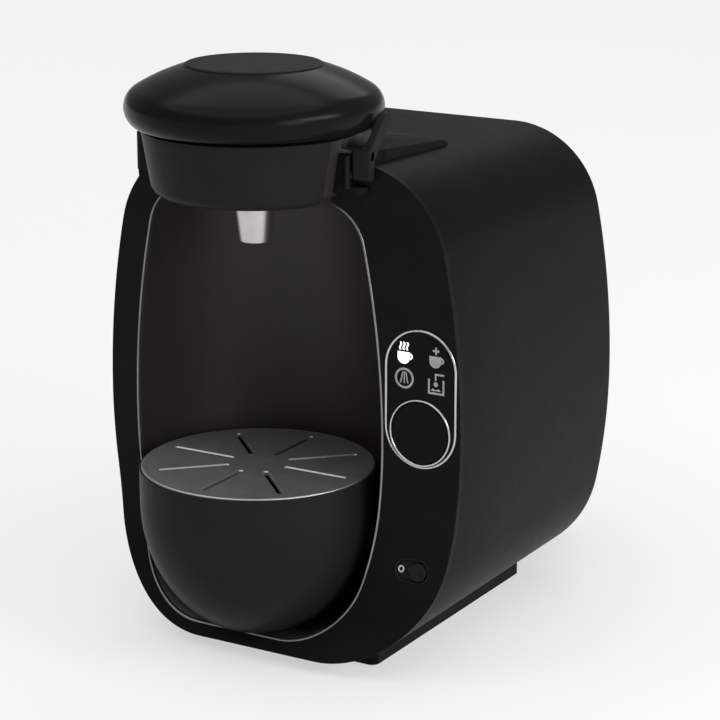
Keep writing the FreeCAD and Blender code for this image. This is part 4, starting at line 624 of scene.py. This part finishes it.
def make_switch():
    shape = bmesh.new()
    sections = [(0.0, 5.0), (0.0, 0.0), (0.25, -0.3), (0.6, -0.3), (0.9, 0.1), (0.9, 1.6)]
    loops = [stadium(shape, 9.4 - inset, 5.9 - inset, 0.0, depth) for inset, depth in sections]
    bridged(shape, loops)
    slot_line = stadium(shape, 5.1, 1.2, 0.0, 1.6)
    filled(shape, [loops[-1], slot_line])
    pushed(shape, slot_line, (0.0, 3.4, 0.0))
    on_switch(shape)
    add_piece("switch_frame", shape, ("switch_bezel",), sharp=50.0)

    shape = bmesh.new()
    tip = start(shape, 0.0, 0.6)
    tip = bow(shape, tip, 3.8, 1.25, -0.15, 8)
    tip = turn(shape, tip, 3.8, 0.75, 90, 5)
    tip = line_to(shape, tip, 4.3, -1.3)
    line_to(shape, tip, 0.0, -1.3)
    lathe(shape, 0.0, 0.0, steps=64)
    face_front(shape, 3.6, 0.0, 0.0)
    stem = stadium(shape, 1.0, 0.9, 3.6, 1.2)
    stem_end = pushed(shape, stem, (0.0, 3.7, 0.0))
    filled(shape, [stem])
    filled(shape, [stem_end])
    on_switch(shape)
    add_piece("switch_thumb", shape, ("power_slider",))

    shape = bmesh.new()
    sections = ((1.7, 1.63), (1.7, 1.45), (1.0, 1.55), (1.0, 1.63))
    bridged(shape, [stadium(shape, radius, radius, -6.4, depth) for radius, depth in sections])
    on_switch(shape)
    add_piece("off_mark", shape, body="housing", slot="ring_silver", finish=mark_grey_bright)


def mark_face(shape, draw):
    """Fills a closed line that draw makes."""
    old = set(shape.edges)
    draw()
    line = [e for e in shape.edges if e not in old]
    ends = [v for v in {v for e in line for v in e.verts} if len(v.link_edges) == 1]
    if len(ends) == 2:
        line.append(shape.edges.new(ends))
    bmesh.ops.contextual_create(shape, geom=line)


def ribbon(shape, draw, width_x, width_z=0.0):
    old = set(shape.edges)
    draw()
    pushed(shape, [e for e in shape.edges if e not in old], (width_x, 0.0, width_z))


def set_mark(name, shape, x, z, finish):
    bmesh.ops.recalc_face_normals(shape, faces=shape.faces[:])
    thickened(shape, (0.0, -0.07, 0.0))
    bmesh.ops.translate(shape, verts=shape.verts[:], vec=(x, front_y + 0.02, z))
    add_piece(name, shape, body="housing", slot="guide_clear", finish=finish)


def polygon(shape, corners):
    mark_face(shape, lambda: trace(shape, corners))


def cup_mark(shape, x, z, size):
    def draw_bowl():
        tip = start(shape, x - 4.1 * size, z + 2.8 * size)
        tip = line_to(shape, tip, x + 2.5 * size, z + 2.8 * size)
        tip = line_to(shape, tip, x + 2.5 * size, z + 0.2 * size)
        turn(shape, tip, x - 0.8 * size, z + 0.2 * size, 180, 16)
    mark_face(shape, draw_bowl)

    def draw_handle():
        tip = start(shape, x + 2.5 * size, z + 2.4 * size)
        tip = turn(shape, tip, x + 2.5 * size, z + 0.8 * size, 180, 10)
        tip = line_to(shape, tip, x + 2.5 * size, z + 0.1 * size)
        turn(shape, tip, x + 2.5 * size, z + 0.8 * size, -180, 10)
    mark_face(shape, draw_handle)


def make_marks():
    left, right = panel_x - 8.6, panel_x + 8.6
    high, low = 159.8, 147.4

    shape = bmesh.new()
    cup_mark(shape, 0.0, -2.0, 0.98)
    for x in (-2.9, -1.1, 0.7):
        def draw_steam(x=x):
            tip = start(shape, x, 1.6)
            tip = bow(shape, tip, x, 3.5, 0.35, 6)
            bow(shape, tip, x, 5.4, -0.35, 6)
        ribbon(shape, draw_steam, 0.95)
    set_mark("mark_steaming_cup", shape, left + 0.3, high - 0.6, mark_lit)

    shape = bmesh.new()
    cup_mark(shape, 0.0, -2.2, 0.95)
    a, b = 0.45, 1.75
    plus = [(-a, b), (a, b), (a, a), (b, a), (b, -a), (a, -a),
            (a, -b), (-a, -b), (-a, -a), (-b, -a), (-b, a), (-a, a)]
    polygon(shape, [(x - 0.4, z + 3.0) for x, z in plus])
    set_mark("mark_more_cup", shape, right - 0.2, high - 0.4, mark_grey)

    shape = bmesh.new()
    loops = [stadium(shape, radius, radius) for radius in (5.0, 3.95)]
    bridged(shape, loops)
    for top_x, low_x in ((-1.1, -2.3), (-0.32, -0.32), (0.5, 1.6)):
        polygon(shape, [(top_x, 3.1), (top_x + 0.64, 3.1), (low_x + 0.64, -2.4), (low_x, -2.4)])
    set_mark("mark_clean_cycle", shape, left - 0.1, low - 0.1, mark_grey)

    shape = bmesh.new()
    w, t, h = 4.3, 0.95, 2.2
    polygon(shape, [(-w, h), (-w + t, h), (-w + t, -4.1), (w - t, -4.1), (w - t, h), (w, h),
                    (w, -4.1 - t), (-w, -4.1 - t)])
    polygon(shape, [(-0.7, 1.6), (0.15, 1.6), (0.15, 4.1), (4.2, 4.1), (4.2, 5.0), (-0.7, 5.0)])
    bridged(shape, [stadium(shape, radius, radius, -0.2, 0.0, -0.2) for radius in (1.15, 0.02)])
    polygon(shape, [(-2.9, -3.4), (-1.6, -2.2), (-0.2, -3.0), (1.2, -2.2), (2.6, -3.4)])
    set_mark("mark_fill_water", shape, right - 0.4, low - 0.7, mark_grey)


# Drip tray


def make_tray():
    shape = bmesh.new()
    tip = start(shape, bowl_radius, bowl_belly_z)
    turn(shape, tip, 0.0, bowl_belly_z, math.degrees(math.asin(bowl_drop / bowl_height)), 32)
    bmesh.ops.scale(shape, verts=shape.verts[:], vec=(1.0, 1.0, bowl_height / bowl_radius),
                    space=Matrix.Translation((0.0, 0.0, -bowl_belly_z)))
    lowest = min(shape.verts, key=lambda v: v.co.z)
    line_to(shape, lowest, 0.0, lowest.co.z)
    belly = max(shape.verts, key=lambda v: v.co.z)
    tip = line_to(shape, belly, bowl_radius, 88.7)
    turn(shape, tip, 57.3, 88.7, -90, 5)
    lathe(shape, head_x, head_y)
    bowl = add_piece("tray_bowl", shape, ("drip_bowl",))
    walled(bowl, bowl_wall)
    flat_led(bowl)

    shape = bmesh.new()
    trace(shape, [(53.0, 86.2), (55.6, 83.2), (56.6, 83.2), (56.6, 87.7), (53.0, 87.7), (53.0, 86.2)])
    lathe(shape, head_x, head_y)
    add_piece("tray_ledge", shape, body="tray", slot="head_black")

    shape = bmesh.new()
    tip = trace(shape, [(57.05, 88.6), (bowl_radius, 88.6), (bowl_radius, 91.7)])
    tip = turn(shape, tip, 57.45, 91.7, -90, 4)
    tip = line_to(shape, tip, 57.05, 92.05)
    line_to(shape, tip, 57.05, 88.6)
    lathe(shape, head_x, head_y)
    add_piece("tray_lip", shape, body="tray", slot="head_black")

    shape = bmesh.new()
    top_z, plate_z = 92.8, 92.6
    plate_radius, plate_thickness = 53.7, 2.0
    slot_count, slot_x, slot_bevel = 8, 32.0, 0.6
    edge = stadium(shape, plate_radius, plate_radius)
    slots, throats = [], []
    for i in range(slot_count):
        old = set(shape.verts)
        slots.append(stadium(shape, 17.9, 1.8, slot_x))
        throats.append(stadium(shape, 17.3, 1.2, slot_x, slot_bevel))
        bridged(shape, [slots[-1], throats[-1]])
        new = [v for v in shape.verts if v not in old]
        spun(shape, new, i * 2 * math.pi / slot_count, "Y")
    under = [pushed(shape, edge, (0.0, plate_thickness, 0.0))]
    under += [pushed(shape, line, (0.0, plate_thickness - slot_bevel, 0.0)) for line in throats]
    filled(shape, [edge] + slots)
    filled(shape, under)
    spun(shape, shape.verts[:], -math.pi / 2, "X")
    bmesh.ops.translate(shape, verts=shape.verts[:], vec=(head_x, head_y, plate_z))
    plate = shape
    rim = bmesh.new()
    tip = trace(rim, [(53.0, 89.9), (53.8, 88.0), (55.3, 88.0), (55.3, 89.5), (56.9, 89.5), (56.9, 92.0)])
    tip = turn(rim, tip, 56.1, 92.0, -90, 5)
    tip = line_to(rim, tip, 55.4, top_z)
    tip = line_to(rim, tip, 54.4, plate_z + 0.1)
    line_to(rim, tip, plate_radius, plate_z)
    lathe(rim, head_x, head_y)
    joined = bpy.data.meshes.new("grate_rim")
    rim.to_mesh(joined)
    rim.free()
    plate.from_mesh(joined)
    bpy.data.meshes.remove(joined)
    flat_led(add_piece("tray_grate", plate, ("drip_grate",), sharp=30.0))


# Brewing head


def make_head():
    shape = bmesh.new()
    corner_x = pot_low_radius + pot_slope * pot_corner - pot_corner
    tip = trace(shape, [(spout_hole_radius, pot_low_z), (corner_x, pot_low_z)])
    lean = math.degrees(math.atan(pot_slope))
    tip = turn(shape, tip, corner_x, pot_low_z + pot_corner, lean - 90, 10)
    line_to(shape, tip, pot_low_radius + pot_slope * (pot_top_z - pot_low_z), pot_top_z)
    lathe(shape, head_x, head_y)
    cut_at(shape, (0.0, front_y - drum_reach, 0.0), (0.0, 1.0, 0.0))
    drop_faces(shape, lambda c: c.y > front_y - drum_reach)
    cover = add_piece("drum_front", shape, ("drum_cover",))
    walled(cover, drum_wall)
    eased(cover, 0.35)

    copied("brew_chamber", "brew_pot")
    copied("head_housing", "head_saddle", saddle_black, seat=seat_saddle)

    shape = bmesh.new()
    tip = trace(shape, [(3.8, 206.0), (3.8, 203.0), (6.9, 203.0)])
    tip = turn(shape, tip, 6.9, 203.8, -84, 5)
    for x, z in ((10.4, 225.4), (10.4, 228.9), (5.2, 228.9), (3.8, 206.0)):
        tip = line_to(shape, tip, x, z)
    lathe(shape, head_x, head_y, steps=96)
    add_piece("spout", shape, ("drink_nozzle",))

    shape = bmesh.new()
    recess_radius, dome_centre, rim_centre = 32.63, (6.46, 194.83), (50.7, 268.0)
    tip = trace(shape, [(recess_radius, 285.4), (recess_radius, 287.19)])
    tip = turn(shape, tip, *dome_centre, 15.36, 16)
    turn(shape, tip, *rim_centre, 111.9, 30)
    lathe(shape, head_x, head_y)
    dome = add_piece("lid_dome", shape, ("brew_lid",), sharp=50.0)
    walled(dome, lid_wall)
    eased(dome, 0.3)

    shape = bmesh.new()
    lug_half, lug_root_y, knuckle_radius = 4.6, head_y + 52.0, 5.0
    polygon(shape, [(lug_root_y, 260.0), (hinge_y, hinge_z - lug_half), (hinge_y + lug_half, hinge_z),
                    (hinge_y, hinge_z + lug_half), (lug_root_y, 268.0)])
    spun(shape, shape.verts[:], math.pi / 2, "Z")
    thickened(shape, (knuckle_length, 0.0, 0.0))
    bmesh.ops.translate(shape, verts=shape.verts[:], vec=(head_x - knuckle_length / 2, 0.0, 0.0))
    across = Matrix.Translation((head_x, hinge_y, hinge_z)) @ Matrix.Rotation(math.pi / 2, 4, "Y")
    bmesh.ops.create_cone(shape, cap_ends=True, segments=48, radius1=knuckle_radius, radius2=knuckle_radius,
                          depth=knuckle_length, matrix=across)
    knuckle = add_piece("lid_knuckle", shape, body="lid", slot="lid_gloss")
    eased(knuckle, 0.4)

    shape = bmesh.new()
    tip = start(shape, 0.0, 287.85)
    tip = bow(shape, tip, 31.6, 288.0, -0.04, 8)
    tip = turn(shape, tip, 31.6, 287.0, 90, 6)
    tip = line_to(shape, tip, 32.6, 286.0)
    line_to(shape, tip, 0.0, 286.0)
    lathe(shape, head_x, head_y)
    add_piece("lid_disc", shape, ("lid_top_disc",), disc_black)


def make_latch():
    x0, x1, arm_x = head_x + 57.0, head_x + 66.4, head_x + 62.5
    y0, y1 = front_y - 5.6, front_y - 0.6
    pivot_y, pivot_z = front_y - 3.1, 241.2

    def block(corners, left, right, bottom=None):
        shape = bmesh.new()
        tip = start(shape, *corners[0])
        for i, (y, z) in enumerate(corners[1:]):
            if i == bottom:
                tip = turn(shape, tip, pivot_y, pivot_z, 180, 16)
            else:
                tip = line_to(shape, tip, y, z)
        ends = [v for v in shape.verts if len(v.link_edges) == 1]
        shape.edges.new(ends)
        bmesh.ops.contextual_create(shape, geom=shape.edges[:])
        spun(shape, shape.verts[:], math.pi / 2, "Z")
        thickened(shape, (right - left, 0.0, 0.0))
        bmesh.ops.translate(shape, verts=shape.verts[:], vec=(left, 0.0, 0.0))
        return shape

    shape = block([(y0, 253.4), (y1, 253.4), (y1, pivot_z), (y0, pivot_z)], x0, x1, 2)
    lever = add_piece("latch_plate", shape, ("latch_lever",), sharp=None)
    eased(lever, 0.9, 3)
    tip_y = front_y + 14.5
    shape = block([(y0, 247.9), (y0 + 1.2, 253.4), (tip_y - 5.5, 268.6), (tip_y, 267.4), (tip_y - 1.2, 264.1),
                   (y1, 247.9)], arm_x, x1)
    arm = add_piece("latch_arm", shape, body="latch", slot="head_black", sharp=None)
    eased(arm, 0.6, 3, 20.0)

    shape = bmesh.new()
    tip = trace(shape, [(0.0, 234.6), (0.9, 234.6)])
    tip = turn(shape, tip, 0.9, 235.1, -90, 4)
    tip = line_to(shape, tip, 1.4, 249.6)
    tip = turn(shape, tip, 0.9, 249.6, -90, 4)
    line_to(shape, tip, 0.0, 250.1)
    lathe(shape, head_x + 54.1, front_y - 4.9, steps=40)
    add_piece("latch_bead", shape, body="housing", slot="head_black")


make_shell()
make_fascia()
make_liner()
make_trim_ring()
make_control_panel()
make_switch()
make_marks()
make_tray()
make_head()
make_latch()
copied("base_plate", "foot_plate", seat=seat_base)
for node, name in (
    ("rubber_feet", "feet"), ("base_screws", "under_screws"), ("rear_panel", "back_panel"),
    ("rear_screws", "back_screws"), ("tank_dock", "dock_shelf"), ("dock_seal", "dock_ring"),
    ("cord_gland", "cord_collar"), ("water_tank", "tank_body"), ("tank_valve", "tank_foot_valve"),
    ("tank_lid", "tank_cap"), ("tank_lid_pin", "tank_cap_pin"), ("tank_float", "level_float"),
    ("disc_holder", "pod_holder"), ("piercing_unit", "piercer"), ("code_window", "reader_window"),
    ("lid_press_plate", "press_disc"), ("press_seal", "press_ring"), ("lid_hinge_pin", "lid_pin"),
):
    copied(node, name)
for node, name in (("latch_pin", "latch_axle"), ("latch_spring", "latch_sleeve")):
    copied(node, name, blackened)
for node, solid in frame["nodes"].items():
    for i in range(len(solid.material_slots)):
        solid.material_slots[i].material = finishes[slot_of_node[node]]

# Floor, light and camera
floor_shape = bmesh.new()
bmesh.ops.create_grid(floor_shape, x_segments=8, y_segments=8, size=30.0)
floor_mesh = bpy.data.meshes.new("floor")
floor_shape.to_mesh(floor_mesh)
floor_shape.free()
floor = bpy.data.objects.new("floor", floor_mesh)
bpy.context.scene.collection.objects.link(floor)
floor_finish, nodes, links, shader, place = new_finish("floor_pale")
toned(nodes, links, shader, place, 2.0, (0.86, 0.86, 0.87), (0.88, 0.88, 0.89))
shader.inputs["Roughness"].default_value = 0.7
shader.inputs["Specular IOR Level"].default_value = 0.0


def combined(operation, *values):
    node = nodes.new("ShaderNodeMath")
    node.operation = operation
    for socket, value in zip(node.inputs, values):
        links.new(value, socket)
    return node


floor_glow = 0.6
ray = nodes.new("ShaderNodeLightPath").outputs
seen = combined("MAXIMUM", ray["Is Camera Ray"], ray["Is Glossy Ray"])
seen_all = combined("MAXIMUM", seen.outputs[0], ray["Is Transmission Ray"])
share = combined("MULTIPLY", seen_all.outputs[0])
share.inputs[1].default_value = floor_glow
pale = nodes.new("ShaderNodeEmission")
pale.inputs["Color"].default_value = (0.93, 0.925, 0.94, 1.0)
pale.inputs["Strength"].default_value = 1.0
mix = nodes.new("ShaderNodeMixShader")
links.new(share.outputs[0], mix.inputs["Fac"])
links.new(shader.outputs[0], mix.inputs[1])
links.new(pale.outputs[0], mix.inputs[2])
links.new(mix.outputs[0], nodes["Material Output"].inputs["Surface"])
floor_mesh.materials.append(floor_finish)

world = bpy.data.worlds.new("studio")
bpy.context.scene.world = world
world.use_nodes = True
world.node_tree.nodes["Background"].inputs["Color"].default_value = (1.0, 1.0, 1.0, 1.0)
world.node_tree.nodes["Background"].inputs["Strength"].default_value = 0.27


def aimed(name, lamp, place, target):
    piece = bpy.data.objects.new(name, lamp)
    piece.location = place
    piece.rotation_mode = "QUATERNION"
    piece.rotation_quaternion = (Vector(target) - Vector(place)).to_track_quat("-Z", "Y")
    bpy.context.scene.collection.objects.link(piece)
    return piece


sky = bpy.data.lights.new("overhead_sun", "SUN")
sky.energy = 2.1
sky.angle = math.radians(90)
aimed("overhead_sun", sky, (-0.2, -0.4, 3.0), (0.0, 0.0, 0.0))

head_middle = (-0.013, -0.088, 0.26)
for name, width, height, energy, place in (
    ("rear_soft_box", 0.65, 0.65, 1.6, (-0.29, 1.2, 1.18)),
    ("right_soft_box", 0.90, 0.28, 10.0, (1.41, -0.04, 0.72)),
    ("front_soft_box", 0.50, 0.40, 3.0, (1.18, -0.64, 0.45)),
):
    soft = bpy.data.lights.new(name, "AREA")
    soft.shape = "RECTANGLE"
    soft.size = width
    soft.size_y = height
    soft.energy = energy
    aimed(name, soft, place, head_middle)

camera = bpy.data.cameras.new("view")
camera.lens = 125.04
camera.sensor_width = 36.0
target = Vector((0.045, -0.089, 0.1526))
back = Vector((0.4906, -0.8299, 0.2659)).normalized()
distance = 1.17111
bpy.context.scene.camera = aimed("view", camera, target + back * distance, target)
bpy.context.scene.view_settings.view_transform = "Standard"
